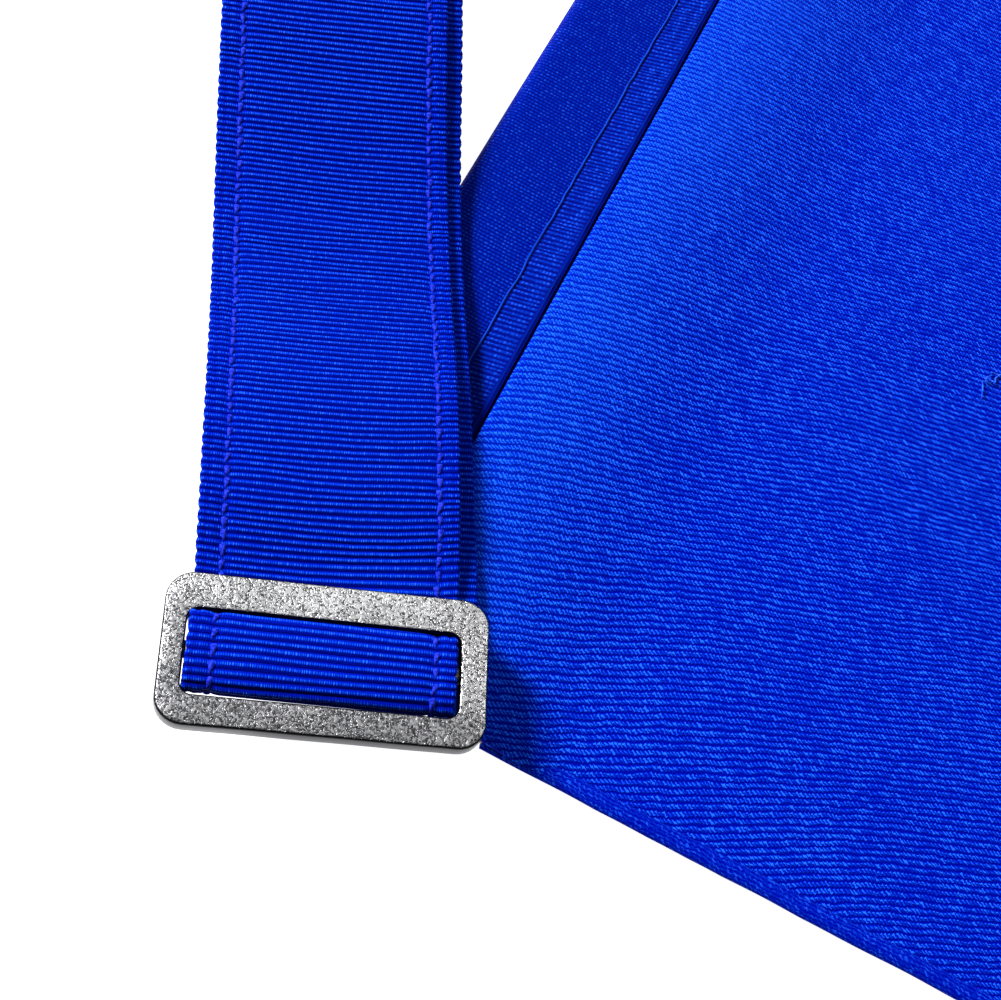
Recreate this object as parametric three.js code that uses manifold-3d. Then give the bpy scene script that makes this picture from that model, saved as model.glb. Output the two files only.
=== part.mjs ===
// Masonic apron of ribbon, twill and thin leather, lying face down with its lining side up.
// Millimetres, +Z up, +Y towards the waist edge. The origin is on the front face of the flap, on the
// centre line. From the surface it lies on, the layers are the ribbon and the flap, the front field,
// the turned edge of the ribbon, the tape, the lining, and at the corners the two belt straps.
import * as THREE from 'three';
import { mergeVertices } from 'three/addons/utils/BufferGeometryUtils.js';
import Module from 'manifold-3d';

const wasm = await Module();
wasm.setup();

// Sizes of the apron
const apronWidth = 406;
const apronHeight = 356;
const originBelowWaist = 80;
const clearance = 0.3;

// Cloth and leather thicknesses
const fieldThickness = 1.2;
const liningThickness = 1.2;
const ribbonThickness = 1;
const hemThickness = 1;
const strapThickness = 1;

// Ribbon border, tape and hem
const borderFrontWidth = 50;
const borderBackWidth = 14;
const tapeReveal = 5.8;
const tapeTuck = 6;
const selvedgeStep = 0.5;
const tapeRise = 2;
const tapeWall = 3;
const liningFall = 12;
const hemWidth = 2.6;

// Flap
const flapWidth = 300;
const flapDepth = 130;
const flapBorderWidth = 25;

// Straps
const strapWidth = 32;
const beltReach = 250;
const shortBeltReach = 200;
const beltAngle = 27.1;
const rootStart = 4;
const doubleGap = 0.6;
const upperShift = -0.5;
const sideShift = 2.5;
const puffHeight = 1.6;
const troughLift = 1;
const crestRise = 5.9;
const landingRun = 40;
const tailLength = 30;

// Slider, placed from the corner of the apron
const sliderFromSide = 17.6;
const sliderPastWaist = 1.6;
const sliderSkew = -3.5;
const sliderThickness = 2.4;
const sliderSideBar = 3.4;
const sliderEndBar = 4.1;
const sliderSlotRoom = 10.4;
const sliderCornerRadius = 3.4;
const sliderInnerRadius = 1;
const centreBarWidth = 2;
const centreBarThickness = 1.6;
const strapGather = 1.4;
const gatherRun = 16;

// Hook and ring
const hardwareThickness = 2;
const hardwareBar = 3;
const hardwareInnerRadius = 0.3;
const hookSlot = 6;
const ringSlot = 12;
const hookShank = 8;
const hookShankWidth = 5;
const hookInnerRadius = 5.5;
const hookWire = 3.4;
const hookSweep = 265;

// Heights of the layers, worked out from the thicknesses
const fieldBottom = ribbonThickness + clearance;
const fieldTop = fieldBottom + fieldThickness;
const backBottom = fieldTop + clearance;
const borderTop = backBottom + ribbonThickness;
const tapeOuterTop = borderTop + selvedgeStep;
const tapeInnerTop = tapeOuterTop + tapeRise;
const liningRaised = tapeInnerTop + clearance;
const cornerTop = liningRaised + liningThickness;
const strapSeat = cornerTop + clearance + strapThickness / 2;
const sliderHeight = strapSeat + 1.5 * strapThickness + 2 * clearance + sliderThickness / 2;

// Distances in from the outer edge
const tapeStart = borderBackWidth + clearance;
const liningStart = borderBackWidth + tapeReveal;
const tapeEnd = liningStart + tapeTuck;
const liningFlat = tapeEnd + clearance + liningFall;

// Materials
const cloth = (color, roughness) => new THREE.MeshStandardMaterial({ color, roughness, metalness: 0 });
const twillBlue = cloth(0x1736c8, 0.62);
const ribbonBlue = cloth(0x0d2596, 0.7);
const strapBlue = cloth(0x102cb4, 0.66);
const whiteLeather = cloth(0xf0eee8, 0.55);
const castMetal = new THREE.MeshStandardMaterial({ color: 0x9a9ca4, roughness: 0.38, metalness: 1 });

const degrees = Math.PI / 180;
const ease = (t) => (1 - Math.cos(Math.PI * Math.min(1, Math.max(0, t)))) / 2;
const mix = (a, b, t) => a + (b - a) * t;

// Solids for cutting and joining
function toSolid(geometry) {
  const bare = geometry.clone();
  bare.deleteAttribute('normal');
  bare.deleteAttribute('uv');
  const merged = mergeVertices(bare, 1e-4);
  return new wasm.Manifold(new wasm.Mesh({
    numProp: 3,
    vertProperties: new Float32Array(merged.attributes.position.array),
    triVerts: new Uint32Array(merged.index.array),
  }));
}

function toGeometry(solid) {
  const mesh = solid.getMesh();
  const geometry = new THREE.BufferGeometry();
  geometry.setAttribute('position', new THREE.BufferAttribute(new Float32Array(mesh.vertProperties), 3));
  geometry.setIndex(new THREE.BufferAttribute(new Uint32Array(mesh.triVerts), 1));
  geometry.computeVertexNormals();
  return geometry;
}

// A flat plate: an outline in plan, from one height to another
function plate(outline, low, high) {
  const shape = outline instanceof THREE.Shape ? outline : new THREE.Shape(outline);
  const geometry = new THREE.ExtrudeGeometry(shape, { depth: high - low, bevelEnabled: false, curveSegments: 5 });
  return geometry.translate(0, 0, low);
}

const plan = (rows) => rows.map(([x, y]) => new THREE.Vector2(x, y));

// A rounded rectangle in plan, centred at x, y
function roundedRectangle(path, x, y, width, height, radius) {
  const right = x + width / 2 - radius;
  const top = y + height / 2 - radius;
  const left = x - width / 2 + radius;
  const bottom = y - height / 2 + radius;
  path.absarc(right, top, radius, 0, Math.PI / 2);
  path.absarc(left, top, radius, Math.PI / 2, Math.PI);
  path.absarc(left, bottom, radius, Math.PI, 1.5 * Math.PI);
  path.absarc(right, bottom, radius, 1.5 * Math.PI, 2 * Math.PI);
  path.closePath();
  return path;
}

// The three taped edges: where each starts, which way is inwards, and how long it is
const edges = {
  right: { start: [apronWidth / 2, -apronHeight / 2], inward: [-1, 0], length: apronHeight },
  left: { start: [-apronWidth / 2, apronHeight / 2], inward: [1, 0], length: apronHeight },
  bottom: { start: [-apronWidth / 2, -apronHeight / 2], inward: [0, 1], length: apronWidth },
};

// A section (inwards from the edge, up) carried along an edge and mitred at the corners
function alongEdge(name, section) {
  const { start, inward, length } = edges[name];
  const geometry = new THREE.ExtrudeGeometry(section, { depth: length, bevelEnabled: false, curveSegments: 4 });
  const across = new THREE.Vector3(inward[0], inward[1], 0);
  const up = new THREE.Vector3(0, 0, 1);
  const along = new THREE.Vector3().crossVectors(across, up);
  const turn = new THREE.Matrix4().makeBasis(across, up, along);
  turn.setPosition(start[0], start[1], 0);
  geometry.applyMatrix4(turn);
  return toGeometry(toSolid(geometry).intersect(toSolid(mitre(name))).subtract(toSolid(hemRoom())));
}

// The room that the hem's front leg takes out of the side ribbons, with its clearance
function hemRoom() {
  const half = apronWidth / 2 - liningFlat + clearance;
  const high = apronHeight / 2;
  const low = high - hemWidth - clearance;
  return plate(plan([[-half, low], [half, low], [half, 2 * high], [-half, 2 * high]]), -fieldTop, fieldBottom);
}

// The region in plan that belongs to one edge, half a clearance back from each mitre line
function mitre(name) {
  const half = apronWidth / 2;
  const low = -apronHeight / 2;
  const reach = borderFrontWidth + clearance;
  const back = clearance / 2 * Math.SQRT2;
  const tall = 4 * cornerTop;
  if (name === 'bottom') {
    return plate(plan([[-half + back, low], [half - back, low], [half - back - reach, low + reach],
      [-half + back + reach, low + reach]]), -tall, tall);
  }
  const side = name === 'right' ? 1 : -1;
  const rows = [[side * half, low + back], [side * half, apronHeight / 2],
    [side * (half - reach), apronHeight / 2], [side * (half - reach), low + back + reach]];
  return plate(plan(side > 0 ? rows : rows.reverse()), -tall, tall);
}

// The ribbon border: a front leg, a rounded turn round the edge and a narrow back leg
function borderSection() {
  const wall = ribbonThickness;
  const inner = wall + clearance;
  const shape = new THREE.Shape();
  shape.moveTo(borderFrontWidth, 0);
  shape.lineTo(borderFrontWidth, wall);
  shape.lineTo(wall, wall);
  shape.lineTo(wall, backBottom);
  shape.lineTo(borderBackWidth, backBottom);
  shape.lineTo(borderBackWidth, borderTop);
  shape.lineTo(inner, borderTop);
  shape.absarc(inner, borderTop - inner, inner, Math.PI / 2, Math.PI);
  shape.lineTo(0, inner);
  shape.absarc(inner, inner, inner, Math.PI, 1.5 * Math.PI);
  shape.closePath();
  return shape;
}

// The tape: thin at its corded selvedge, thicker where it is folded under the lining
function tapeSection() {
  return new THREE.Shape(plan([
    [tapeStart, backBottom],
    [tapeEnd, tapeInnerTop - tapeWall],
    [tapeEnd, tapeInnerTop],
    [liningStart, tapeInnerTop],
    [tapeStart, tapeOuterTop],
  ]));
}

function frontField() {
  const inset = ribbonThickness + clearance;
  const half = apronWidth / 2 - inset;
  const low = -apronHeight / 2 + inset;
  const high = apronHeight / 2 - hemThickness - clearance;
  return plate(plan([[-half, low], [half, low], [half, high], [-half, high]]), fieldBottom, fieldTop);
}

// How high the lining's underside is, by its distance in from the nearest taped edge
function liningUnderside(x, y) {
  const inFromEdge = Math.min(apronWidth / 2 - Math.abs(x), y + apronHeight / 2);
  const fall = (inFromEdge - tapeEnd - clearance) / liningFall;
  return mix(liningRaised, backBottom, ease(fall));
}

// The lining: one sheet that lies on the field and climbs over the tape to its folded edge
function lining() {
  const half = apronWidth / 2;
  const steps = [liningStart, tapeEnd + clearance];
  for (let i = 1; i <= 4; i++) steps.push(tapeEnd + clearance + liningFall * i / 4);
  const sideColumns = steps.map((s) => half - s);
  const columns = [...sideColumns.map((x) => -x), 0, ...sideColumns.reverse()];
  const rows = steps.map((s) => s - apronHeight / 2);
  rows.push(0, apronHeight / 2 - hemThickness - clearance);
  return sheetSolid(columns, rows, liningUnderside, liningThickness);
}

// A closed sheet over a grid of columns and rows, from its underside and its thickness
function sheetSolid(columns, rows, underside, thickness) {
  const wide = columns.length;
  const tall = rows.length;
  const positions = [];
  for (const lift of [0, thickness]) {
    for (const y of rows) {
      for (const x of columns) positions.push(x, y, underside(x, y) + lift);
    }
  }
  const at = (side, row, column) => side * wide * tall + row * wide + column;
  const index = [];
  const quad = (a, b, c, d) => index.push(a, b, c, a, c, d);
  for (let r = 0; r < tall - 1; r++) {
    for (let c = 0; c < wide - 1; c++) {
      quad(at(1, r, c), at(1, r, c + 1), at(1, r + 1, c + 1), at(1, r + 1, c));
      quad(at(0, r, c), at(0, r + 1, c), at(0, r + 1, c + 1), at(0, r, c + 1));
    }
  }
  for (let c = 0; c < wide - 1; c++) {
    quad(at(0, 0, c), at(0, 0, c + 1), at(1, 0, c + 1), at(1, 0, c));
    quad(at(0, tall - 1, c + 1), at(0, tall - 1, c), at(1, tall - 1, c), at(1, tall - 1, c + 1));
  }
  for (let r = 0; r < tall - 1; r++) {
    quad(at(0, r + 1, 0), at(0, r, 0), at(1, r, 0), at(1, r + 1, 0));
    quad(at(0, r, wide - 1), at(0, r + 1, wide - 1), at(1, r + 1, wide - 1), at(1, r, wide - 1));
  }
  return closedGeometry(positions, index);
}

function closedGeometry(positions, index) {
  const geometry = new THREE.BufferGeometry();
  geometry.setAttribute('position', new THREE.Float32BufferAttribute(positions, 3));
  geometry.setIndex(index);
  geometry.computeVertexNormals();
  return geometry;
}

// The hem: folded round the waist edge, between the raised sides of the lining
function waistHem() {
  const wall = hemThickness;
  const top = backBottom + liningThickness + clearance;
  const shape = new THREE.Shape(plan([
    [hemWidth, 0], [hemWidth, wall], [wall, wall], [wall, top], [hemWidth, top],
    [hemWidth, top + wall], [0, top + wall], [0, 0],
  ]));
  const half = apronWidth / 2 - liningFlat;
  const geometry = new THREE.ExtrudeGeometry(shape, { depth: 2 * half, bevelEnabled: false });
  const turn = new THREE.Matrix4().makeBasis(
    new THREE.Vector3(0, -1, 0), new THREE.Vector3(0, 0, 1), new THREE.Vector3(-1, 0, 0));
  turn.setPosition(half, apronHeight / 2, 0);
  return geometry.applyMatrix4(turn);
}

// The flap on the front face, in the plane of the ribbon: a leather middle and two ribbon edges
const flapTop = apronHeight / 2 - hemWidth - clearance;
const flapSlope = Math.hypot(flapWidth / 2, flapDepth);

// The triangle that lies a given distance inside the flap's two slanting edges
function flapTriangle(inset) {
  const along = inset * flapSlope / flapDepth;
  const up = inset * flapSlope / (flapWidth / 2);
  return { half: flapWidth / 2 - along, tip: flapTop - flapDepth + up };
}

function flap() {
  const { half, tip } = flapTriangle(flapBorderWidth);
  return plate(plan([[-half, flapTop], [0, tip], [half, flapTop]]), 0, ribbonThickness);
}

function flapBorder(side) {
  const outer = flapTriangle(0);
  const inner = flapTriangle(flapBorderWidth - clearance);
  const seam = side * clearance / 2;
  const shift = clearance / 2 * flapDepth / (flapWidth / 2);
  const rows = [[side * outer.half, flapTop], [side * inner.half, flapTop],
    [seam, inner.tip + shift], [seam, outer.tip + shift]];
  return plate(plan(side > 0 ? rows : rows.reverse()), 0, ribbonThickness);
}

// A ribbon solid through stations: each has a centre, a sideways turn, a width and a thickness
function ribbonSolid(stations, thickness) {
  const positions = [];
  const index = [];
  stations.forEach((station, i) => {
    const before = stations[Math.max(0, i - 1)].centre;
    const after = stations[Math.min(stations.length - 1, i + 1)].centre;
    const along = new THREE.Vector3().subVectors(after, before).normalize();
    const across = new THREE.Vector3(-Math.sin(station.turn), Math.cos(station.turn), 0);
    const up = new THREE.Vector3().crossVectors(along, across).normalize();
    for (const [side, lift] of [[1, 1], [-1, 1], [-1, -1], [1, -1]]) {
      const corner = station.centre.clone();
      corner.addScaledVector(across, side * station.width / 2);
      corner.addScaledVector(up, lift * thickness / 2);
      positions.push(corner.x, corner.y, corner.z);
    }
    if (i === 0) return;
    const a = 4 * (i - 1);
    const b = 4 * i;
    for (let k = 0; k < 4; k++) {
      const next = (k + 1) % 4;
      index.push(a + k, a + next, b + next, a + k, b + next, b + k);
    }
  });
  const last = 4 * (stations.length - 1);
  index.push(0, 2, 1, 0, 3, 2, last, last + 1, last + 2, last, last + 2, last + 3);
  return closedGeometry(positions, index);
}

// How far along a strap its inner edge has passed a line at some distance in from the side edge
function runPast(fromSide, reachInwards) {
  return (sliderFromSide - fromSide + reachInwards * Math.cos(beltAngle * degrees)) / Math.sin(beltAngle * degrees);
}

// How the doubled strap's lower layer rises and falls: seated on the corner, over the border, an arch,
// and down to the surface. Past the seat, the places are shares of the strap's free run.
const doubledInner = strapWidth / 2 + sideShift - upperShift;
const seatRun = runPast(liningStart, doubledInner);
const freeRun = beltReach - seatRun;
const overBorder = borderTop + clearance + strapThickness / 2;
const strapWaves = [
  { along: 0, height: strapSeat },
  { along: seatRun, height: strapSeat },
  { along: seatRun + 0.15 * freeRun, height: overBorder + troughLift },
  { along: seatRun + 0.35 * freeRun, height: overBorder + troughLift + crestRise },
  { along: seatRun + 0.58 * freeRun, height: strapThickness / 2 },
  { along: beltReach, height: strapThickness / 2 },
];

// The plain strap: seated on its corner, over the border and down to the surface
const shortSeatRun = runPast(liningStart, strapWidth / 2);
const shortBorderRun = runPast(0, strapWidth / 2);
const shortWaves = [
  { along: 0, height: strapSeat },
  { along: shortSeatRun, height: strapSeat },
  { along: shortBorderRun, height: overBorder },
  { along: shortBorderRun + landingRun, height: strapThickness / 2 },
  { along: shortBeltReach, height: strapThickness / 2 },
];

function waveHeight(waves, along) {
  const found = waves.findIndex((row) => row.along >= along);
  const next = found < 0 ? waves.length - 1 : Math.max(1, found);
  const from = waves[next - 1];
  const to = waves[next];
  return mix(from.height, to.height, ease((along - from.along) / (to.along - from.along)));
}

const spread = (from, to, count) => Array.from({ length: count + 1 }, (_, i) => mix(from, to, i / count));

// The turn round a bar at the far end: it keeps one distance from the bar's two far corners
const turnRadius = clearance + strapThickness / 2;
const turnUp = hardwareThickness / 2 + turnRadius;
const turnCentre = strapThickness / 2 + turnUp;

function farTurn(reach, shift) {
  const round = (from, to, cornerHeight) => spread(from, to, 4).map((angle) => ({
    centre: new THREE.Vector3(reach + hardwareBar / 2 + turnRadius * Math.cos(angle * degrees),
      shift, cornerHeight + turnRadius * Math.sin(angle * degrees)),
    turn: 0,
    width: strapWidth,
  }));
  return [...round(-90, 0, turnCentre - hardwareThickness / 2), ...round(0, 90, turnCentre + hardwareThickness / 2)];
}

// The upper layer follows the lower one, swells a little past the slider and meets the far turn
function upperHeight(along) {
  const apart = strapThickness + mix(clearance, doubleGap, ease((along - 10) / gatherRun));
  const puff = puffHeight * ease((along - 9) / 14) * (1 - ease((along - 26) / 30));
  const lift = (2 * turnUp - apart) * ease((along - beltReach + 40) / 40);
  return waveHeight(strapWaves, along) + apart + puff + lift;
}

// The wrap round the slider's centre bar: a loose oval loop that starts and ends beneath the frame
const loopAcross = sliderSlotRoom / 2 - clearance - strapThickness / 2 - 0.2;
const loopUp = centreBarThickness / 2 + clearance + strapThickness / 2 + 0.3;

function sliderWrap() {
  const skew = sliderSkew * degrees;
  return spread(-28, 285, 22).map((angle) => {
    const along = loopAcross * Math.cos(angle * degrees);
    return {
      centre: new THREE.Vector3(along * Math.cos(skew), along * Math.sin(skew),
        sliderHeight + loopUp * Math.sin(angle * degrees)),
      turn: skew,
      width: strapWidth - strapGather,
    };
  });
}

// The doubled strap: out from the corner, round the hook, back on top and round the slider's bar
function adjustableBelt() {
  const lowerShift = (along) => upperShift - sideShift * (1 - ease((along / beltReach - 0.6) / 0.3));
  const lower = spread(rootStart, beltReach - 0.5, 48).map((along) => ({
    centre: new THREE.Vector3(along, lowerShift(along), waveHeight(strapWaves, along)),
    turn: 0,
    width: strapWidth,
  }));
  const slotEntry = sliderSlotRoom / 2 - clearance;
  const upper = spread(beltReach - 0.5, slotEntry, 56).map((along) => {
    const near = 1 - ease((along - slotEntry) / gatherRun);
    const skew = sliderSkew * degrees * near;
    return {
      centre: new THREE.Vector3(along, upperShift * (1 - near) + along * Math.sin(skew), upperHeight(along)),
      turn: skew,
      width: strapWidth - strapGather * near,
    };
  });
  const stations = [...lower, ...farTurn(beltReach, upperShift), ...upper, ...sliderWrap()];
  return ribbonSolid(stations, strapThickness);
}

// The plain strap of the other corner: out along the surface, round the ring and back under its own end
function shortBelt() {
  const height = (along) => waveHeight(shortWaves, along);
  const lower = spread(rootStart, shortBeltReach - 0.5, 36).map((along) => ({
    centre: new THREE.Vector3(along, 0, height(along)),
    turn: 0,
    width: strapWidth,
  }));
  const tail = spread(shortBeltReach - 0.5, shortBeltReach - tailLength, 8).map((along) => {
    const closeness = ease((shortBeltReach - along) / (0.6 * tailLength));
    const apart = mix(2 * turnUp, strapThickness + clearance, closeness);
    return {
      centre: new THREE.Vector3(along, 0, height(along) + apart),
      turn: 0,
      width: strapWidth,
    };
  });
  return ribbonSolid([...lower, ...farTurn(shortBeltReach, 0), ...tail], strapThickness);
}

// The slider: a rounded frame round the gathered strap, and a thinner bar across its middle
const sliderOpening = strapWidth - strapGather + 2 * clearance;

function slider() {
  const outline = roundedRectangle(new THREE.Shape(), 0, 0,
    sliderSlotRoom + 2 * sliderEndBar, sliderOpening + 2 * sliderSideBar, sliderCornerRadius);
  outline.holes.push(roundedRectangle(new THREE.Path(), 0, 0, sliderSlotRoom, sliderOpening, sliderInnerRadius));
  const frame = toSolid(plate(outline, -sliderThickness / 2, sliderThickness / 2));
  const bar = new THREE.BoxGeometry(centreBarWidth, sliderOpening + sliderSideBar, centreBarThickness);
  return toGeometry(frame.add(toSolid(bar)));
}

// The frame that a strap loops through, with its near bar centred on the turn
function strapFrame(slot) {
  const room = strapWidth + 2 * clearance;
  const length = slot + 2 * hardwareBar;
  const middle = length / 2 - hardwareBar / 2;
  const outline = roundedRectangle(new THREE.Shape(), middle, 0, length, room + 2 * hardwareBar, hardwareBar);
  outline.holes.push(roundedRectangle(new THREE.Path(), middle, 0, slot, room, hardwareInnerRadius));
  return plate(outline, -hardwareThickness / 2, hardwareThickness / 2);
}

function beltHook() {
  const frameEnd = hookSlot + 1.5 * hardwareBar;
  const shank = plate(plan([
    [frameEnd - hardwareBar / 2, -hookShankWidth / 2],
    [frameEnd + hookShank, -hookShankWidth / 2],
    [frameEnd + hookShank, hookShankWidth / 2],
    [frameEnd - hardwareBar / 2, hookShankWidth / 2],
  ]), -hardwareThickness / 2, hardwareThickness / 2);
  const outerRadius = hookInnerRadius + hookWire;
  const centre = frameEnd + hookShank + outerRadius - hookWire / 2;
  const bend = new THREE.Shape();
  const from = Math.PI;
  const to = Math.PI + hookSweep * degrees;
  bend.absarc(centre, 0, outerRadius, from, to, false);
  bend.absarc(centre, 0, hookInnerRadius, to, from, true);
  bend.closePath();
  const bent = new THREE.ExtrudeGeometry(bend, {
    depth: hardwareThickness, bevelEnabled: false, curveSegments: 24,
  }).translate(0, 0, -hardwareThickness / 2);
  return toGeometry(toSolid(strapFrame(hookSlot)).add(toSolid(shank)).add(toSolid(bent)));
}

// The scene graph
const named = (name, geometry, material) => {
  const mesh = new THREE.Mesh(geometry, material);
  mesh.name = name;
  return mesh;
};

const apron = new THREE.Group();
apron.add(named('front_field', frontField(), whiteLeather));
apron.add(named('lining', lining(), twillBlue));
for (const name of Object.keys(edges)) {
  apron.add(named(`border_${name}`, alongEdge(name, borderSection()), ribbonBlue));
  apron.add(named(`tape_${name}`, alongEdge(name, tapeSection()), ribbonBlue));
}
apron.add(named('waist_hem', waistHem(), twillBlue));
apron.add(named('flap', flap(), whiteLeather));
apron.add(named('flap_border_right', flapBorder(1), ribbonBlue));
apron.add(named('flap_border_left', flapBorder(-1), ribbonBlue));

const cornerX = apronWidth / 2 - sliderFromSide;
const cornerY = apronHeight / 2 + sliderPastWaist;

const rightBelt = new THREE.Group();
rightBelt.position.set(cornerX, cornerY, 0);
rightBelt.rotation.z = (beltAngle - 90) * degrees;
rightBelt.add(named('belt_adjustable', adjustableBelt(), strapBlue));
const sliderMesh = named('slider', slider(), castMetal);
sliderMesh.position.z = sliderHeight;
sliderMesh.rotation.z = sliderSkew * degrees;
rightBelt.add(sliderMesh);
const hookMesh = named('belt_hook', beltHook(), castMetal);
hookMesh.position.set(beltReach, upperShift, turnCentre);
rightBelt.add(hookMesh);

const leftBelt = new THREE.Group();
leftBelt.position.set(-cornerX, cornerY, 0);
leftBelt.rotation.z = (-beltAngle - 90) * degrees;
leftBelt.add(named('belt_short', shortBelt(), strapBlue));
const ringMesh = named('belt_ring', strapFrame(ringSlot), castMetal);
ringMesh.position.set(shortBeltReach, 0, turnCentre);
leftBelt.add(ringMesh);

apron.add(rightBelt, leftBelt);
apron.position.y = originBelowWaist - apronHeight / 2;

const group = new THREE.Group();
group.add(apron);

export default group;
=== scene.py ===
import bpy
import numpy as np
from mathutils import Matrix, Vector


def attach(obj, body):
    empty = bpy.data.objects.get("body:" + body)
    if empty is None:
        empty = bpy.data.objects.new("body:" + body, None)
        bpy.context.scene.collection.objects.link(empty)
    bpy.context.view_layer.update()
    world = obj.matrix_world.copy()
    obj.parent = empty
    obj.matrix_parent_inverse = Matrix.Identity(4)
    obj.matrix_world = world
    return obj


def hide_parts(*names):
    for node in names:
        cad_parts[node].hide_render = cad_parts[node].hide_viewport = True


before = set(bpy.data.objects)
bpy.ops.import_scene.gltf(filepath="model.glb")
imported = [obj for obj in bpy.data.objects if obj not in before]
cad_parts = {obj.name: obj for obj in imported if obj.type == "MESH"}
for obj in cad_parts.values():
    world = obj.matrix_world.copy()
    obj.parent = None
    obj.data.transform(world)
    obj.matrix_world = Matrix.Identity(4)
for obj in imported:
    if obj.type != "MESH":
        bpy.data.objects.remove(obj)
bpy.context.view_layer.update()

# %% [markdown]
# # A ribboned ceremonial apron, lying with its lining side up
# The apron lies on a white table. Its front is thin white leather, bound with ribbed ribbon, and
# what shows is the blue twill lining, a narrow tape, the turned ribbon edge, and at the corner a
# doubled grosgrain strap with a cast metal slider.
# The CAD model fixes where everything is. This lesson gives each piece its cloth, thread or metal.
# All shapes are worked out in millimetres, because cloth is measured so, and go into Blender in
# metres.

MM = 0.001
HALF_WIDTH = 203.0
WAIST = 80.0
BOTTOM = -276.0
STRAP_WIDTH = 32.0
rng = np.random.default_rng(11)


def ease(t):
    """Half a cosine: 0 before t is 0, 1 after t is 1, and level at both ends."""
    return (1 - np.cos(np.pi * np.clip(t, 0, 1))) / 2


def mix(a, b, t):
    """The value a share t of the way from a to b."""
    return a + (b - a) * t


print("CAD nodes:", ", ".join(sorted(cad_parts)))

# %% [markdown]
# ## The camera
# The photograph looks down at the corner of the apron from about 61 degrees above the table, from
# the side of the waist edge, with the camera rolled. A camera can be aimed with a constraint, but
# a rolled one is simpler to give as three directions: what is right, up and ahead in its picture.

# %% Camera
camera_right = Vector((-0.88587, -0.41418, 0.20903))
camera_up = Vector((0.46363, -0.77372, 0.43175))
camera_ahead = Vector((0.01709, -0.47939, -0.87744))
turn = Matrix((camera_right, camera_up, -camera_ahead)).transposed().to_4x4()
camera = bpy.data.objects.new("camera", bpy.data.cameras.new("camera"))
camera.matrix_world = Matrix.Translation((0.17286, 0.15288, 0.19675)) @ turn
camera.data.sensor_width = 36
camera.data.lens = 61.14
camera.data.clip_start = 0.01
camera.data.clip_end = 20
bpy.context.scene.collection.objects.link(camera)
bpy.context.scene.camera = camera
print("camera looks along", [round(x, 3) for x in camera_ahead])

# %% [markdown]
# ## Small helpers for nodes
# A material is a tree of nodes. One function adds a node, sets its options and fills its inputs
# with plain values or with the outputs of other nodes, so that a tree reads from top to bottom.
# The rest are the nodes that this lesson needs most, each under a short name.

# %% Adding nodes


def fill(tree, node, inputs):
    """Fills a node's inputs, each from a plain value or from another node's socket."""
    for key, value in inputs.items():
        if isinstance(value, bpy.types.NodeSocket):
            tree.links.new(value, node.inputs[key])
        else:
            node.inputs[key].default_value = value


def add(tree, kind, inputs=None, **options):
    """Adds a node, sets its options and fills its inputs."""
    node = tree.nodes.new(kind)
    for option, value in options.items():
        setattr(node, option, value)
    fill(tree, node, inputs or {})
    return node


def new_finish(name, settings):
    """A material, its tree and its Principled shader, whose own sockets are set."""
    material = bpy.data.materials.new(name)
    material.use_nodes = True
    finish = material.node_tree.nodes["Principled BSDF"]
    fill(material.node_tree, finish, settings)
    return material, material.node_tree, finish


def new_group(name, inputs, outputs):
    """An empty shader group with named sockets: its tree, its input and its output sockets."""
    group = bpy.data.node_groups.new(name, "ShaderNodeTree")
    for label, kind, value in inputs:
        made = group.interface.new_socket(label, in_out="INPUT", socket_type="NodeSocket" + kind)
        made.default_value = value
    for label, kind in outputs:
        group.interface.new_socket(label, in_out="OUTPUT", socket_type="NodeSocket" + kind)
    return group, group.nodes.new("NodeGroupInput").outputs, group.nodes.new("NodeGroupOutput").inputs


def place(tree, group, inputs):
    """A copy of a group in a material, with its inputs filled."""
    node = tree.nodes.new("ShaderNodeGroup")
    node.node_tree = group
    fill(tree, node, inputs)
    return node.outputs


# %% The nodes used most


def maths(tree, operation, *values):
    """One Math node, whose inputs are numbers or sockets."""
    return add(tree, "ShaderNodeMath", dict(enumerate(values)), operation=operation).outputs[0]


def plus(tree, a, b):
    """The sum of two values."""
    return maths(tree, "ADD", a, b)


def minus(tree, a, b):
    """The first value less the second."""
    return maths(tree, "SUBTRACT", a, b)


def times(tree, a, b):
    """The product of two values."""
    return maths(tree, "MULTIPLY", a, b)


def one_minus(tree, value):
    """One less the value, which turns a mask round."""
    return minus(tree, 1.0, value)


def blend_colours(tree, share, first, second):
    """A Mix node for two colours."""
    return add(tree, "ShaderNodeMix", {0: share, 6: first, 7: second}, data_type="RGBA").outputs[2]


def between(tree, value, low_end, high_end):
    """A smooth step: 0 below the low end and 1 above the high end."""
    ends = {"Value": value, "From Min": low_end, "From Max": high_end}
    return add(tree, "ShaderNodeMapRange", ends, interpolation_type="SMOOTHSTEP").outputs[0]


# %% Places, textures and bump


def flat_place(tree, x, y):
    """A place from two numbers, for a texture that works in a plane."""
    return add(tree, "ShaderNodeCombineXYZ", {"X": x, "Y": y}).outputs[0]


def noise(tree, vector, scale, detail=2.0, distortion=0.0):
    """A noise texture's value. The scale is in waves for each unit of the place given."""
    inputs = {"Vector": vector, "Scale": scale, "Detail": detail, "Distortion": distortion}
    return add(tree, "ShaderNodeTexNoise", inputs).outputs["Fac"]


def bumped(tree, height, millimetres):
    """The normal of a surface that stands up by so many millimetres where the height is 1."""
    return add(tree, "ShaderNodeBump", {"Height": height, "Distance": millimetres * MM}).outputs[0]


def object_place(tree):
    """Where a point is on the object, in metres."""
    return add(tree, "ShaderNodeTexCoord").outputs["Object"]


def weave_numbers(tree):
    """The three numbers of the weave attribute, which every mesh carries."""
    weave = add(tree, "ShaderNodeAttribute", attribute_name="weave").outputs["Vector"]
    return add(tree, "ShaderNodeSeparateXYZ", {0: weave}).outputs


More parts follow.
